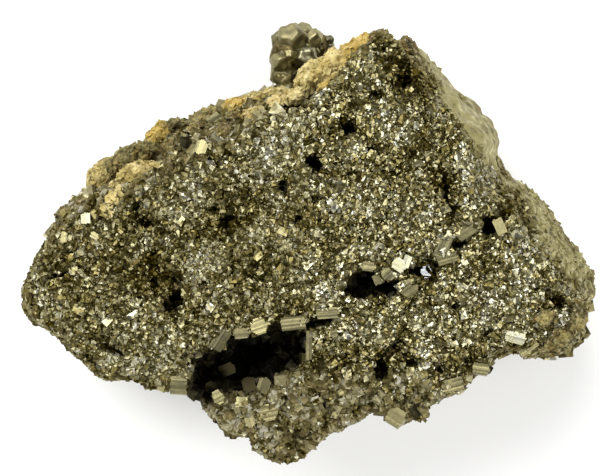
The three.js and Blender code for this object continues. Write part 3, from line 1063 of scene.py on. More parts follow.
KNOB = tuple(KnobCrystal(*row) for row in (
    (-2.4, 27.0, 14.4, 3.3, 15, 0.34),
    (-0.9, 27.2, 13.8, 3.1, 40, 0.55),
    (-3.1, 24.0, 14.0, 2.8, 70, 0.42),
    (-0.2, 24.2, 13.2, 3.1, 5, 0.40),
    (-1.2, 21.4, 13.0, 3.2, 30, 0.35),
    (-4.2, 28.6, 14.8, 1.3, 20, 0.40),
    (-3.9, 25.4, 15.9, 1.9, 33, 0.52),
    (-0.5, 26.1, 16.4, 1.7, 12, 0.80),
    (0.4, 28.5, 15.4, 1.6, 50, 0.60),
    (-2.5, 28.7, 16.0, 2.5, 64, 0.42),
    (-0.9, 29.5, 14.6, 1.7, 30, 0.46),
    # A near-black crystal in a hollow of the cluster: painted shade.
    (-1.9, 23.5, 15.8, 1.5, 48, 0.08),
    (-2.6, 26.3, 17.0, 1.1, 80, 0.50),
    (1.4, 28.0, 13.6, 0.9, 10, 0.45),
    (2.6, 28.3, 13.3, 1.1, 55, 0.35),
    (3.0, 27.5, 13.6, 0.6, 25, 0.85),
))


class Cover(Enum):
    """What covers a lump: how warm, and how pale, its colour is."""

    CREAM = (0.34, 0.88)
    TAN = (0.22, 0.70)
    OCHRE = (0.72, 0.64)
    OLIVE = (0.02, 0.26)
    BROWN = (0.06, 0.15)


@dataclass(frozen=True)
class Lump:
    """A rounded lump: middle and height above rest, half sizes and turn, in millimetres."""

    x: float
    y: float
    height: float
    half_x: float
    half_y: float
    half_z: float
    turn: float
    cover: Cover


LUMPS = {node: tuple(Lump(*row) for row in rows) for node, rows in {
    "matrix_crest": (
        (0.4, 23.2, 26.2, 2.5, 1.9, 5.0, 38, Cover.TAN),
        (2.4, 24.2, 27.2, 1.8, 1.8, 4.6, 20, Cover.TAN),
        (4.0, 25.3, 27.4, 1.6, 2.0, 4.4, 70, Cover.CREAM),
        (5.5, 26.3, 27.8, 1.3, 1.7, 4.2, 80, Cover.OCHRE),
        (6.8, 27.3, 28.2, 1.6, 1.3, 3.6, 30, Cover.OCHRE),
        (8.0, 28.1, 28.4, 1.1, 1.1, 3.2, 0, Cover.OCHRE),
        (5.2, 24.6, 29.6, 0.9, 1.2, 2.2, 20, Cover.OCHRE),
        (3.4, 23.2, 30.2, 1.4, 0.8, 2.4, 40, Cover.TAN),
        (-0.3, 21.6, 27.0, 1.4, 0.9, 3.4, 10, Cover.TAN),
    ),
    "matrix_shoulder": (
        (-29.0, 9.4, 25.4, 1.75, 1.75, 2.1, 0, Cover.TAN),
        (-28.0, 8.4, 22.8, 2.2, 2.3, 3.2, 0, Cover.OLIVE),
        (-27.2, 10.7, 25.0, 1.5, 1.3, 2.6, 20, Cover.OLIVE),
        (-23.6, 9.5, 29.2, 2.9, 1.8, 3.2, 10, Cover.TAN),
        (-21.4, 9.9, 29.0, 1.5, 1.4, 3.0, 0, Cover.TAN),
        (-25.2, 11.8, 25.0, 2.3, 1.7, 3.6, 30, Cover.OLIVE),
        (-22.9, 12.5, 24.4, 1.8, 1.4, 3.4, 36, Cover.BROWN),
        (-26.2, 7.6, 29.6, 1.6, 1.2, 2.4, 50, Cover.TAN),
    ),
    "matrix_ridge": (
        (-20.7, 15.3, 22.4, 1.9, 1.3, 3.4, 42, Cover.OCHRE),
        (-18.9, 16.3, 22.0, 1.5, 1.0, 3.0, 30, Cover.OLIVE),
        (-21.7, 13.9, 22.4, 1.2, 1.1, 2.6, 0, Cover.OLIVE),
    ),
    "matrix_saddle": (
        (-9.8, 19.1, 22.2, 2.4, 1.2, 3.4, 22, Cover.OCHRE),
        (-7.2, 19.9, 22.6, 1.8, 1.1, 3.2, 18, Cover.TAN),
        (-5.0, 20.6, 22.8, 1.9, 1.0, 2.8, 14, Cover.TAN),
        (-11.5, 18.3, 22.0, 1.4, 1.0, 2.8, 20, Cover.OLIVE),
    ),
    "coated_lumps": (
        (9.8, 28.3, 31.0, 1.5, 1.4, 2.0, 0, Cover.OLIVE),
        (13.2, 27.3, 29.6, 1.3, 1.1, 2.2, 0, Cover.BROWN),
        (-26.6, 6.6, 34.6, 1.2, 0.9, 0.9, 50, Cover.TAN),
        (-27.9, 5.0, 34.4, 1.0, 1.1, 0.8, 0, Cover.TAN),
        (-18.6, 10.8, 33.6, 1.7, 1.2, 2.2, 20, Cover.OLIVE),
        (-16.6, 12.2, 32.6, 1.5, 1.2, 2.4, 30, Cover.BROWN),
        (-18.9, 13.6, 27.6, 1.7, 1.3, 3.0, 40, Cover.BROWN),
        (-15.6, 15.6, 27.4, 1.9, 1.2, 3.0, 30, Cover.OLIVE),
        (-12.0, 15.4, 31.4, 1.7, 1.1, 2.6, 25, Cover.OLIVE),
        (-10.4, 17.0, 28.2, 1.8, 1.1, 3.0, 28, Cover.BROWN),
        (-7.4, 17.8, 28.8, 1.7, 1.1, 3.0, 25, Cover.TAN),
        (-4.6, 19.3, 28.0, 1.8, 1.0, 2.6, 30, Cover.CREAM),
        (-1.8, 20.4, 30.4, 1.5, 0.9, 3.0, 30, Cover.TAN),
        (2.2, 21.7, 33.4, 1.0, 0.6, 1.6, 10, Cover.OCHRE),
        (-31.2, 5.4, 29.8, 1.6, 1.3, 2.2, 30, Cover.OLIVE),
        (-33.6, 3.6, 27.6, 1.5, 1.5, 3.0, 50, Cover.OLIVE),
        (-14.6, 17.6, 22.8, 2.2, 1.1, 3.0, 22, Cover.OLIVE),
        (32.2, -10.2, 31.4, 1.9, 1.5, 2.6, 20, Cover.OLIVE),
        (34.6, -12.8, 31.6, 1.8, 1.3, 2.0, 20, Cover.BROWN),
        (36.6, -9.6, 29.4, 1.5, 1.9, 2.8, 10, Cover.OLIVE),
        (33.2, -13.9, 30.6, 2.2, 1.0, 2.2, -8, Cover.OLIVE),
    ),
}.items()}


# A hollow whose half sizes multiply to less than this is a pit, and otherwise a cavity.
LARGEST_PIT = 1.8


@dataclass(frozen=True)
class Oval:
    """An oval place seen from above: its middle, half sizes and turn, in millimetres and degrees."""

    x: float
    y: float
    half_x: float
    half_y: float
    turn: float = 0.0

    def reach(self, x: np.ndarray, y: np.ndarray) -> np.ndarray:
        """How far points lie from the middle, in parts of the oval.

        Args:
            x: Millimetres to the right of the stone's middle.
            y: Millimetres towards the knob.

        Returns:
            0 at the oval's middle and 1 on its edge.
        """
        along, across = turned(x - self.x, y - self.y, self.turn)
        return np.hypot(along / self.half_x, across / self.half_y)

    def is_small(self) -> bool:
        """Whether it is a pit and not a cavity."""
        return self.half_x * self.half_y < LARGEST_PIT


HOLLOWS = tuple(Oval(*row) for row in (
    (-13.9, -18.6, 3.4, 4.0, 20),
    (-8.6, -16.3, 5.4, 4.7, 12),
    (-3.4, -14.3, 4.0, 3.6, 25),
    (1.2, -10.9, 3.0, 0.9, 15),
    (7.9, -5.7, 3.6, 2.1, 8),
    (11.3, -6.2, 2.2, 1.6, -10),
    (15.6, -3.8, 2.4, 0.9, 5),
    (20.3, 0.1, 1.6, 1.2, 30),
    (24.8, 2.3, 1.3, 1.3),
    (5.2, 15.8, 1.0, 0.8, -15),
    (0.6, 10.9, 0.9, 1.3, 35),
    (-3.6, 7.7, 0.9, 0.7),
    (-21.3, -5.4, 0.5, 1.0, 15),
    (-18.9, -8.3, 1.2, 0.9, 10),
    (9.8, -17.9, 0.8, 1.5, -8),
))

# Shallow gaps of the broken face, where grains fell out. They are pressed in, and their colour is
# painted darker as shade.
GAPS = tuple(Oval(*row) for row in (
    (16.0, -3.8, 1.7, 1.3, 0), (33.9, -8.4, 1.3, 0.9, 0),
    (13.0, 22.3, 1.6, 1.2, 20), (16.3, 20.3, 1.2, 0.9), (-11.4, 2.9, 1.4, 1.0, 30),
    (-22.6, 2.8, 1.5, 0.8, -20), (-24.0, 4.8, 1.1, 0.7, 50), (-18.2, -6.6, 0.8, 2.2, 15),
    (26.9, 4.2, 1.5, 1.0, 15), (18.6, 7.2, 0.7, 1.8, 10), (20.0, 4.6, 0.9, 0.8),
    (-27.0, -14.8, 2.2, 0.5, -25), (-30.6, -16.2, 1.6, 0.6, -40),
    (-34.6, -4.5, 1.6, 0.6, 20), (-13.2, 4.6, 0.9, 0.7), (-5.8, 8.8, 0.8, 0.6, 40),
    (11.6, -14.6, 1.6, 0.9, 20), (13.9, -16.6, 1.0, 0.8), (3.4, 22.6, 1.2, 0.5, 25),
    (9.0, 20.4, 0.9, 0.7), (20.0, -8.8, 0.8, 0.6), (-1.6, 3.4, 0.7, 0.6),
    (5.6, 9.6, 0.7, 0.5, 60), (-7.6, -3.2, 0.6, 0.8), (2.2, -23.0, 0.6, 1.1, 10),
    (-3.4, -21.6, 0.5, 1.0, -10), (17.6, -17.6, 1.3, 0.6, 30), (24.6, -12.6, 0.9, 0.6),
))

# Where the broken face is darker, below 0, or brighter, above 0, than elsewhere. The darkest
# patches, over small pits and gaps, are painted shade.
TONE_PATCHES_AND_PIT_SHADE = tuple((Oval(*place), amount) for *place, amount in (
    (12.6, 22.4, 4.6, 3.8, -30, -0.22),
    (33.9, -8.4, 1.8, 1.2, 0, -0.45),
    (5.2, 15.8, 1.4, 1.0, -15, -0.50),
    (0.6, 10.9, 1.0, 1.4, 35, -0.50),
    (-3.6, 7.7, 1.2, 0.9, 0, -0.50),
    (-21.7, -2.0, 1.0, 1.2, 0, -0.40),
    (-21.2, -5.8, 0.9, 1.5, 15, -0.45),
    (-18.9, -8.3, 1.5, 1.1, 10, -0.45),
    (-28.0, -4.5, 9.0, 6.0, 10, -0.10),
    (-22.0, 2.6, 4.0, 2.4, 0, -0.20),
    (-11.4, 2.4, 3.2, 2.4, 20, -0.20),
    (-18.8, -7.2, 2.0, 5.0, 15, -0.20),
    (26.6, 3.8, 3.2, 2.4, 15, -0.20),
    (18.8, 7.4, 2.0, 4.4, 5, -0.18),
    (32.0, -6.6, 5.0, 5.0, 0, 0.05),
    (34.6, -11.4, 4.0, 3.0, 0, 0.14),
    (9.4, 16.6, 7.0, 5.6, 0, 0.10),
    (-4.0, -4.0, 7.0, 5.6, 0, -0.07),
    (29.0, -4.0, 5.0, 6.0, 20, 0.16),
    (-34.5, 1.0, 4.0, 5.0, 20, -0.14),
    (11.6, -16.6, 3.6, 3.0, 0, -0.16),
    (5.0, 15.8, 2.2, 1.8, 0, -0.22),
    (0.8, 10.6, 1.8, 2.4, 30, -0.22),
    (22.8, 9.4, 3.4, 3.6, 0, 0.20),
    (1.8, -7.4, 3.4, 2.0, 10, 0.22),
    (-4.8, 15.6, 5.4, 3.2, 20, 0.07),
    (20.6, -8.4, 6.6, 3.2, -10, 0.10),
    (18.2, -13.6, 4.6, 4.0, 0, 0.09),
    (8.0, 6.0, 6.0, 5.0, 0, 0.04),
))

# The smooth crust lies to the right of this line, and the coarse band above the second one.
CRUST_EDGE = ((37.6, -6.0), (34.8, -3.9), (32.8, -1.8), (31.4, 0.3), (30.7, 3.7), (29.8, 5.8), (27.2, 7.8),
              (26.2, 9.2), (24.5, 10.6), (22.4, 13.4), (20.4, 16.8), (18.2, 19.5), (16.4, 23.0), (14.5, 26.5))
BAND_EDGE = ((-34.0, 2.6), (-30.0, 4.0), (-26.0, 5.0), (-19.8, 8.6), (-8.8, 14.4), (-1.2, 20.2), (2.0, 25.0))


# ---------------------------------------------------------------- the pyrite


class GrainFinish(Enum):
    """The finishes of the grains, by how bright and how smooth they are."""

    BRIGHT = PyriteFinish("pyrite_grains")
    CALM = PyriteFinish("pyrite_calm_grains", roughness=(0.34, 0.56), tone_shift=-0.02)
    SATIN = PyriteFinish("pyrite_satin_grains", roughness=(0.30, 0.52), tone_spread=0.8,
                         tone_shift=-0.06, facet_tilt=0.4)
    DULL = PyriteFinish("pyrite_dull_grains", roughness=(0.24, 0.46), tone_spread=0.85, tone_shift=-0.08)
    DARK = PyriteFinish("pyrite_flank_grains", roughness=(0.24, 0.46), tone_spread=0.85, tone_shift=-0.20)
    COARSE = PyriteFinish("pyrite_coarse_crystals", roughness=(0.22, 0.44), tone_shift=-0.05,
                          tone_spread=0.9, facet_size=0.9 * MM, facet_tilt=0.4)


GRAINS = {name: (finish, Strewing(*row)) for name, finish, *row in (
    ("face_grains_left", GrainFinish.CALM, "face_left", 0.33, 0.32, 0.66, 0.8, 0.6, 0.12, 30e6, 3),
    ("face_grains_right", GrainFinish.BRIGHT, "face_right", 0.33, 0.32, 0.66, 0.8, 0.6, 0.12, 30e6, 4),
    ("face_crystals", GrainFinish.BRIGHT, "face", 1.5, 0.75, 1.25, 0.8, 0.6, 0.28, 0.5e6, 11),
    ("lobe_grains", GrainFinish.SATIN, "lobe", 0.40, 0.38, 0.95, 0.85, 0.7, 0.12, 20e6, 6),
    ("band_crystals", GrainFinish.COARSE, "band_top", 2.0, 0.9, 2.0, 0.9, 0.9, 0.3, 0.4e6, 13),
    ("band_grains", GrainFinish.DULL, "band_top", 0.44, 0.4, 1.1, 0.8, 0.8, 0.1, 14e6, 8),
    ("crust_grains", GrainFinish.DULL, "crust", 0.62, 0.5, 1.2, 0.7, 0.24, 0.47, 7e6, 12),
    ("flank_grains", GrainFinish.DARK, "flank", 0.48, 0.42, 0.95, 0.8, 0.5, 0.31, 14e6, 5),
    ("flank_crystals", GrainFinish.COARSE, "low_flank", 2.3, 1.0, 2.2, 0.9, 0.7, 0.38, 0.3e6, 15),
    ("base_grains", GrainFinish.DARK, "base", 0.75, 0.6, 1.6, 0.7, 0.5, 0.22, 6e6, 16),
    ("vug_grains", GrainFinish.BRIGHT, "cavity", 1.0, 0.7, 1.8, 1.0, 0.7, 0.1, 3e6, 9),
)}
ROCK_SAND = Strewing("sandy", 0.5, 0.35, 0.85, 0.8, 0.5, 0.3, 12e6, 17)


@dataclass
class PyriteMass:
    """The granular mass: its body, and the grains on it."""

    stone: Stone
    voxel: float = 0.43 * MM
    blocky: float = 0.62 * MM
    granular: float = 0.45 * MM
    rounded: float = 0.55 * MM
    # The body's tone: low, so that the body seen between the grains is painted shade.
    ground_shade_tone: float = 0.2
    body: bpy.types.Object = field(init=False)

    def build(self) -> None:
        """Makes the body and marks its regions."""
        rough = merged_copy(MASS, "mass_rough")
        even_out(rough, self.voxel)
        even = applied(rough, "mass_even")
        discard(rough)
        self.mark(even.data)
        # Painted shade: the body between the grains is made darker than they are.
        finish = PyriteFinish("pyrite_shaded_ground", tone_shift=-0.16)
        relief_tree().put_on(even, {
            "Blocky relief": self.blocky, "Granular relief": self.granular,
            "Rounded relief": self.rounded, "Material": finish.make()})
        self.body = applied(even, "pyrite_body")
        discard(even)
        self.mark(self.body.data)

    def mark(self, mesh: bpy.types.Mesh) -> None:
        """Stores how much each vertex belongs to each region.

        Args:
            mesh: The body's mesh.
        """
        stone = self.stone
        points = rows(mesh.vertices, "co")
        outward = rows(mesh.vertex_normals, "vector")
        x = (points[:, 0] - stone.middle.x) / (MM * stone.scale)
        y = (points[:, 1] - stone.middle.y) / (MM * stone.scale)
        height = (points[:, 2] - stone.low.z) / stone.height
        inside = widest(step(hollow.reach(x, y), 1.12, 0.92) for hollow in HOLLOWS)
        gap = widest(step(gap.reach(x, y), 1.25, 0.75) for gap in GAPS)
        grown = widest(crystal.share(x, y) for crystal in CRYSTALS if crystal.sunk == 0)
        grown = grown * step(height, 0.80, 0.88)
        # How deep in a cavity a place lies; the finish paints it nearly black there as shade.
        deep = inside * step(height, 0.97, 0.90) * step(height, 0.45, 0.60)
        pit = widest(step(hollow.reach(x, y), 1.15, 0.8) for hollow in HOLLOWS if hollow.is_small())
        pit = pit * step(height, 0.70, 0.80)
        # Pits count as deep, so their colour is painted dark as shade too.
        deep = np.maximum(deep, pit)
        open_air = 1 - step(deep, 0.2, 0.5)
        ragged = waves(points, 4.0 * MM) + 0.6 * waves(points, 1.5 * MM)
        edge_x, edge_y = zip(*CRUST_EDGE)
        from_edge = x - np.interp(y, edge_y, edge_x) + (0.8 + 3 * step(height, 0.80, 0.55)) * ragged
        skin = step(from_edge, -0.6, 0.8) * step(y + 3 * ragged, -8.5, -5.0)
        skin = skin * step(height + 0.16 * ragged, 0.10, 0.30)
        band_x, band_y = zip(*BAND_EDGE)
        band = step(y - np.interp(x, band_x, band_y) + 1.1 * ragged, -0.8, 1.4)
        band = band * step(x, 9.0, 7.0) * step(x, -34.5, -32.5)
        band = band * step(height, 0.25, 0.45) * (1 - skin)
        face = step(outward[:, 2], 0.25, 0.55) * step(height, 0.50, 0.60) * open_air
        face = face * (1 - skin) * (1 - band)
        upper = step(height, 0.6, 0.7)
        lobe = step(y, -16.5, -19.5) * step(x, 20, 15) * step(x, -17, -14.5) * step(height, 0.55, 0.65)
        base = step(height, 0.042, 0.028) * step(outward[:, 2], -0.5, -0.8)
        rock = step(distances_to_rock(points), 2.4 * MM, 0.5 * MM)
        above_rest = height * stone.height / (MM * stone.scale)
        knob = widest(step(crystal.distance(x, y, above_rest), 0.9, 0.4) for crystal in KNOB)
        knob = knob * step(y, 21.0, 22.4)
        # Patches of the broken face that are darker, below 0, and brighter, above 0; the darkest, over small
        # pits and gaps, are painted shade.
        tarnish = sum(amount * step(patch.reach(x, y), 1.3, 0.3) for patch, amount in TONE_PATCHES_AND_PIT_SHADE)
        flank = (1 - face) * (1 - deep) * (1 - base) * step(height, 0.01, 0.03)
        regions = {
            "face": face, "vug": deep, "pit": pit, "skin": skin * (1 - deep), "base": base,
            "gap": gap * face, "grown": np.maximum(grown, knob), "tarnish": tarnish,
            "stain": widest([band * 0.30, rock * 0.9, lobe * 0.3, flank * 0.2,
                             skin * 0.7 * step(height, 0.65, 0.40)]),
            "face_left": face * (x < 0) * (1 - lobe) * (1 - grown),
            "face_right": face * (x >= 0) * (1 - lobe) * (1 - grown),
            "lobe": (face + flank * upper).clip(0, 1) * lobe * (1 - grown),
            "band_top": band * (1 - knob) * (1 - grown) * (1 - step(rock, 0.85, 0.95)),
            "flank": flank * (1 - skin) * (1 - knob) * (1 - band) * (1 - grown) * (1 - lobe * upper),
            "crust": skin * (1 - deep) * step(height, 0.2, 0.3) * np.maximum(
                step(y, 8.5, 4.5), 0.5 * step(height + 0.1 * ragged, 0.28, 0.16)),
            "cavity": deep * (1 - lobe) * (1 - grown),
            "low_flank": flank * (1 - skin) * (1 - knob) * step(height, 0.52, 0.40) * (
                1 - step(from_edge, -6, -3) * step(y, -10, -7)),
            "tone": np.full(len(points), self.ground_shade_tone),
        }
        for name, share in regions.items():
            set_attribute(mesh, name, share)

    def dress(self) -> None:
        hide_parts(MASS)
        shown(self.body)
        tree = grain_tree()
        made = {finish: finish.value.make() for finish in GrainFinish}
        for name, (finish, strewing) in GRAINS.items():
            shown(strewing.over(self.body, name, tree, made[finish]))


# ---------------------------------------------------------------- the crystals


BLOCK_FACES = ((3, 2, 1, 0), (4, 5, 6, 7), (0, 1, 5, 4), (1, 2, 6, 5), (2, 3, 7, 6), (3, 0, 4, 7))


@dataclass
class ShellMesh:
    """A mesh made of many closed shells, with a tone for each vertex."""

    corners: list[Vector] = field(default_factory=list)
    faces: list[tuple[int, ...]] = field(default_factory=list)
    tones: list[float] = field(default_factory=list)

    def add_block(self, corners: list[Vector], tone: float) -> None:
        """Adds a block of eight corners.

        Args:
            corners: The four lower corners anticlockwise seen from above, then the four upper.
            tone: Its tone.
        """
        first = len(self.corners)
        self.corners += corners
        self.tones += [tone] * 8
        for face in BLOCK_FACES:
            self.faces.append(tuple(first + corner for corner in face))

    def piece(self, name: str, material: bpy.types.Material) -> bpy.types.Object:
        """Makes the mesh's object.

        Args:
            name: Its name.
            material: Its finish.

        Returns:
            The object.
        """
        mesh = bpy.data.meshes.new(name)
        mesh.from_pydata([tuple(corner) for corner in self.corners], [], self.faces)
        set_attribute(mesh, "tone", np.array(self.tones))
        mesh.materials.append(material)
        return linked(name, mesh)


@dataclass
class VugCrystals:
    """The striated crystals on the rims of the cavities and along the edges.

    A crystal is a row of slabs. light is the way to the key light, which the brighter ones lean
    towards, and rim_drop is how far below the stone's top the cavities' rims lie.
    """

    stone: Stone
    growth: float = 1.05
    stria: float = 0.24 * MM
    rise: float = 0.32 * MM
    rim_drop: float = 2.0
    depth: float = 0.65
    shade_inside: float = 0.16
    overlap: float = 1.04
    slab_rise: float = 0.035
    slab_tilt: float = 0.009
    edge_drop: float = 0.10 * MM
    end_wear: float = 0.20
    narrowing: float = 0.985
    mirror_unevenness: float = 0.3
    light: tuple[float, float, float] = (-0.54, 0.84, 0.0)
    seed: int = 21

    def build(self) -> None:
        draw = random.Random(self.seed)
        shells = ShellMesh()
        for crystal in CRYSTALS:
            self.grow(crystal, shells, draw)
        shown(shells.piece("striated_crystals", CrystalFinish("striated_pyrite").make()))

    def grow(self, crystal: Crystal, shells: ShellMesh, draw: random.Random) -> None:
        """Adds one crystal as a row of slabs of uneven height.

        Args:
            crystal: The crystal.
            shells: The mesh it joins.
            draw: The random draws.
        """
        tone, lean = crystal.look.value
        up = Vector(self.light) * math.sin(math.radians(lean + draw.uniform(-1, 1)))
        up.z = math.cos(math.radians(lean))
        if crystal.sunk > 0:
            tone *= self.shade_inside
            up = Vector((draw.uniform(-0.6, 0.6), draw.uniform(-0.6, 0.6), 1.0))
        up.normalize()
        ground = self.stone.ground(crystal.x, crystal.y)
        if crystal.sunk > 0:
            ground.z = self.stone.low.z + self.stone.height - (self.rim_drop + crystal.sunk) * MM
        ground.z += self.rise
        turn = math.radians(crystal.turn + crystal.striae)
        along = Vector((math.cos(turn), math.sin(turn), 0))
        along = (along - up * along.dot(up)).normalized()
        across = up.cross(along)
        sizes = (crystal.across, crystal.up) if crystal.striae == 0 else (crystal.up, crystal.across)
        length, width = (size * MM * self.growth for size in sizes)
        count = max(3, round(width / self.stria))
        foot = up * crystal.deep * self.depth * MM
        uneven = self.mirror_unevenness * MM if crystal.look is Look.MIRROR else MM
        for slab in range(count):
            low, high = (-width / 2 + width * (slab + end) / count for end in (0, self.overlap))
            off_middle = abs(2 * (slab + 0.5) / count - 1)
            cut = crystal.taper * off_middle ** 1.5 * 0.5 * min(length, width)
            top = draw.uniform(-self.slab_rise, self.slab_rise) * uneven - self.edge_drop * off_middle ** 6
            tilt = draw.uniform(-self.slab_tilt, self.slab_tilt) * uneven
            ends = [length / 2 - draw.uniform(0, self.end_wear) * MM - cut for _ in range(2)]
            outline = [(-ends[0], low), (ends[1], low), (ends[1], high), (-ends[0], high)]
            floor = [ground + along * a + across * b - foot for a, b in outline]
            roof = [
                ground + along * a * self.narrowing + across * b + up * (top + (tilt if b == low else -tilt))
                for a, b in outline
            ]
            shade = min(1.0, max(0.0, tone + draw.uniform(-0.04, 0.04)))
            shells.add_block(floor + roof, shade)


@dataclass
class Knob:
    """The cluster of blunt twelve-sided crystals that stands out past the upper edge."""

    stone: Stone
    growth: float = 1.03
    blunting: float = 0.22
    stretch: tuple[float, float] = (0.86, 1.10)
    wave_depth: float = 0.16
    wave_count: float = 1.9
    wave_shift: float = 900
    seed: int = 33

    def build(self) -> None:
        draw = random.Random(self.seed)
        cluster = bmesh.new()
        tones: list[float] = []
        for crystal in KNOB:
            self.grow(cluster, crystal, draw)
            tones += [crystal.tone] * (len(cluster.verts) - len(tones))
        mesh = bpy.data.meshes.new("knob_crystals")
        cluster.to_mesh(mesh)
        cluster.free()
        set_attribute(mesh, "tone", np.array(tones))
        mesh.materials.append(CrystalFinish("knob_pyrite", roughness=(0.32, 0.48)).make())
        shown(linked("knob_crystals", mesh))

    def grow(self, cluster: bmesh.types.BMesh, crystal: KnobCrystal, draw: random.Random) -> None:
        """Adds one crystal with blunt edges and an uneven skin.

        Args:
            cluster: The mesh it joins.
            crystal: The crystal.
            draw: The random draws.
        """
        form = bmesh.new()
        bmesh.ops.create_icosphere(form, subdivisions=1, radius=1.0)
        centres = [face.calc_center_median().normalized() for face in form.faces]
        form.clear()
        for centre in centres:
            form.verts.new(centre)
        hull = bmesh.ops.convex_hull(form, input=form.verts)
        spare = [item for item in hull["geom_interior"] + hull["geom_unused"] if item.is_valid]
        bmesh.ops.delete(form, geom=spare, context="VERTS")
        bmesh.ops.dissolve_limit(form, angle_limit=0.05, verts=form.verts, edges=form.edges)
        bmesh.ops.bevel(form, geom=form.edges, offset=self.blunting, segments=2, profile=0.6, affect="EDGES")
        bmesh.ops.triangulate(form, faces=form.faces)
        bmesh.ops.subdivide_edges(form, edges=form.edges, cuts=2, use_grid_fill=True)
        middle = self.stone.place(crystal.x, crystal.y)
        middle.z += crystal.height / self.stone.designed_height_mm * self.stone.height
        stretch = Vector([draw.uniform(*self.stretch) for _ in range(3)])
        turn = Euler((math.radians(crystal.turn / 2), 0.0, math.radians(crystal.turn))).to_matrix()
        for corner in form.verts:
            wave = noise.noise(corner.co * self.wave_count + middle * self.wave_shift) * self.wave_depth
            shaped = corner.co * (1 + wave) * crystal.radius * MM * self.growth
            corner.co = turn @ Vector([size * pull for size, pull in zip(shaped, stretch)]) + middle
        bmesh.ops.recalc_face_normals(form, faces=form.faces)
        for face in form.faces:
            face.smooth = True
        part = bpy.data.meshes.new("knob_part")
        form.to_mesh(part)
        form.free()
        cluster.from_mesh(part)
        bpy.data.meshes.remove(part)


# ---------------------------------------------------------------- the host rock


@dataclass
class LumpCluster:
    """Rounded lumps grown together: a remnant of host rock, or coated lumps of the pyrite.

    inset moves the lumps away from the knob's side, and bare_crest is the crest's share of sand.
    """

    stone: Stone
    name: str
    voxel: float = 0.22 * MM
    relief: float = 0.42 * MM
    inset: float = 0.38
    swell: float = 0.16
    swells: float = 1.6
    swell_shift: float = 700
    bare_crest: float = 0.35

    def build(self, material: bpy.types.Material) -> bpy.types.Object:
        """Makes the cluster.

        Args:
            material: Its finish.

        Returns:
            The piece.
        """
        lumps = LUMPS[self.name]
        rough = self.rough(lumps)
        even_out(rough, self.voxel)
        self.relief_tree().put_on(rough, {"Relief": self.relief, "Material": material})
        piece = applied(rough, self.name + ("_rock" if self.name in ROCKS else ""))
        discard(rough)
        self.mark(piece.data, lumps)
        return piece

    def rough(self, lumps: tuple[Lump, ...]) -> bpy.types.Object:
        """Makes the lumps as separate balls.

        Args:
            lumps: The lumps.

        Returns:
            The balls in one mesh.
        """
        balls = bmesh.new()
        for lump in lumps:
            start = len(balls.verts)
            bmesh.ops.create_icosphere(balls, subdivisions=4, radius=1.0)
            balls.verts.ensure_lookup_table()
            middle = self.middle(lump)
            turn = Matrix.Rotation(math.radians(lump.turn), 3, "Z")
            for corner in balls.verts[start:]:
                swell = 1 + self.swell * noise.noise(corner.co * self.swells + middle * self.swell_shift)
                x, y, z = corner.co * swell
                stretched = Vector((x * lump.half_x, y * lump.half_y, z * lump.half_z)) * MM
                corner.co = turn @ stretched * self.stone.scale + middle
        mesh = bpy.data.meshes.new(self.name + "_rough")
        balls.to_mesh(mesh)
        balls.free()
        return linked(self.name + "_rough", mesh)

    def middle(self, lump: Lump) -> Vector:
        """A lump's middle."""
        foot = self.stone.place(lump.x, lump.y - self.inset)
        return foot + Vector((0, 0, lump.height * MM * self.stone.scale))

    def mark(self, mesh: bpy.types.Mesh, lumps: tuple[Lump, ...]) -> None:
        """Stores how warm and how pale each vertex is, from the lumps around it.

        Args:
            mesh: The cluster's mesh.
            lumps: The lumps.
        """
        points = rows(mesh.vertices, "co")
        total = np.zeros(len(points))
        warmth = np.zeros(len(points))
        pale = np.zeros(len(points))
        for lump in lumps:
            away = (points - np.array(self.middle(lump))) / MM
            size = np.array((lump.half_x, lump.half_y, lump.half_z))
            weight = 1 / (0.1 + (away ** 2 / size ** 2).sum(1)) ** 4
            total += weight
            warmth += weight * lump.cover.value[0]
            pale += weight * lump.cover.value[1]
        height = (points[:, 2] - self.stone.low.z) / self.stone.height
        set_attribute(mesh, "warmth", warmth / total)
        set_attribute(mesh, "pale", pale / total)
        share = self.bare_crest if self.name == "matrix_crest" else 1.0
        set_attribute(mesh, "sandy", step(height, 0.5, 0.6) * share)

    @staticmethod
    def relief_tree() -> GeometryTree:
        """The tree that gives lumps a pitted, sandy skin.

        Returns:
            The tree.
        """
        tree = GeometryTree("lump_relief")
        amount = tree.input("Relief")
        material = tree.input("Material", "Material")
        place, normal = tree.where()
        folds = tree.noise(place, 2.6 * MM, 3.0) - 0.5
        pits = tree.noise(place, 1.3 * MM, 2.0).between(0.40, 0.28)
        sand = tree.noise(place, 0.5 * MM, 2.0) - 0.5
        crags = tree.off_centre(place, 1.5 * MM)
        push = (folds * 2.8 - pits * 1.0 - crags * 0.6 + sand * 0.8 + 0.25) * amount
        tree.finish(tree.moved(tree.geometry, tree.scaled(normal, push)), material, True)
        return tree


# ---------------------------------------------------------------- the studio


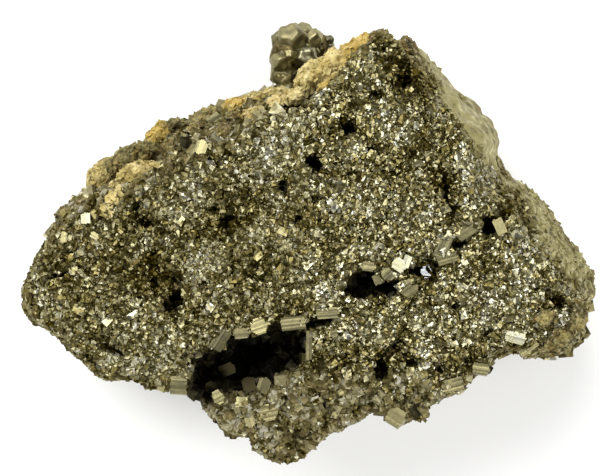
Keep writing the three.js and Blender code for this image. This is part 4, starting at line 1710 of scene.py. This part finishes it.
@dataclass
class Studio:
    """A plain pale floor, soft light and the camera.

    The camera's frame is frame_width wide at frame_level, a share of the stone's height.
    """

    stone: Stone
    lens: float = 400.0
    sensor: float = 36.0
    frame_width: float = 83.2 * MM
    frame_shift: tuple[float, float] = (-1.34, 0.60)
    frame_level: float = 0.72
    floor_reach: float = 3.0

    def build(self) -> None:
        """Makes the floor, the lights and the camera."""
        self.floor()
        self.world(0.20)
        self.softbox("key_light", (-0.40, 0.62, 0.80), 1.10, 18.0)
        self.softbox("fill_light", (0.75, -0.35, 0.65), 1.00, 12.0)
        self.softbox("rim_light", (-0.65, -0.50, 0.50), 0.60, 4.0)
        self.camera()

    def floor(self) -> None:
        """Lays the floor."""
        reach = self.floor_reach
        corners = [(-reach, -reach, 0), (reach, -reach, 0), (reach, reach, 0), (-reach, reach, 0)]
        mesh = bpy.data.meshes.new("floor")
        mesh.from_pydata(corners, [], [(0, 1, 2, 3)])
        mesh.materials.append(FloorFinish().make())
        linked("floor", mesh)

    def world(self, strength: float) -> None:
        """Makes the soft light from all round.

        Args:
            strength: Its strength.
        """
        world = bpy.data.worlds.new("soft_room")
        world.use_nodes = True
        world.node_tree.nodes["Background"].inputs["Color"].default_value = (1.0, 0.99, 0.97, 1.0)
        world.node_tree.nodes["Background"].inputs["Strength"].default_value = strength
        bpy.context.scene.world = world

    def softbox(self, name: str, place: tuple[float, float, float], side: float, power: float) -> None:
        """Hangs a softbox that faces the stone.

        Args:
            name: Its name.
            place: Where it hangs, in metres.
            side: The length of its sides.
            power: Its power in watts.
        """
        lamp = bpy.data.lights.new(name, "AREA")
        lamp.shape = "SQUARE"
        lamp.size = side
        lamp.energy = power
        made = bpy.data.objects.new(name, lamp)
        bpy.context.scene.collection.objects.link(made)
        made.location = place
        aim = self.stone.middle - Vector(place)
        made.rotation_euler = aim.to_track_quat("-Z", "Y").to_euler()

    def camera(self) -> None:
        """Places the camera straight above the stone."""
        lens = bpy.data.cameras.new("camera")
        lens.lens = self.lens
        lens.sensor_width = self.sensor
        lens.clip_start = 0.01
        made = bpy.data.objects.new("camera", lens)
        bpy.context.scene.collection.objects.link(made)
        level = self.stone.low.z + self.frame_level * self.stone.height
        distance = self.frame_width * self.stone.scale * self.lens / self.sensor
        x, y = self.frame_shift
        made.location = self.stone.place(x, y)
        made.location.z = level + distance
        bpy.context.scene.camera = made
        bpy.context.scene.view_settings.view_transform = "Standard"


def main() -> None:
    """Builds the specimen and the studio."""
    logging.basicConfig(level=logging.INFO, format="%(name)s: %(message)s")
    stone = Stone()
    mass = PyriteMass(stone)
    mass.build()
    mass.dress()
    VugCrystals(stone).build()
    Knob(stone).build()
    rock = HostRockFinish("host_rock").make()
    coat = HostRockFinish("limonite_coat", glitter=0.5).make()
    tree = grain_tree()
    for name in LUMPS:
        cluster = LumpCluster(stone, name)
        finish, slot = (rock, "host_rock") if name in ROCKS else (coat, "pyrite")
        piece = cluster.build(finish)
        if name in ROCKS:
            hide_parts(name)
        shown(piece)
        shown(ROCK_SAND.over(piece, name + "_sand", tree, finish))
    Studio(stone).build()


if __name__ == "__main__":
    main()
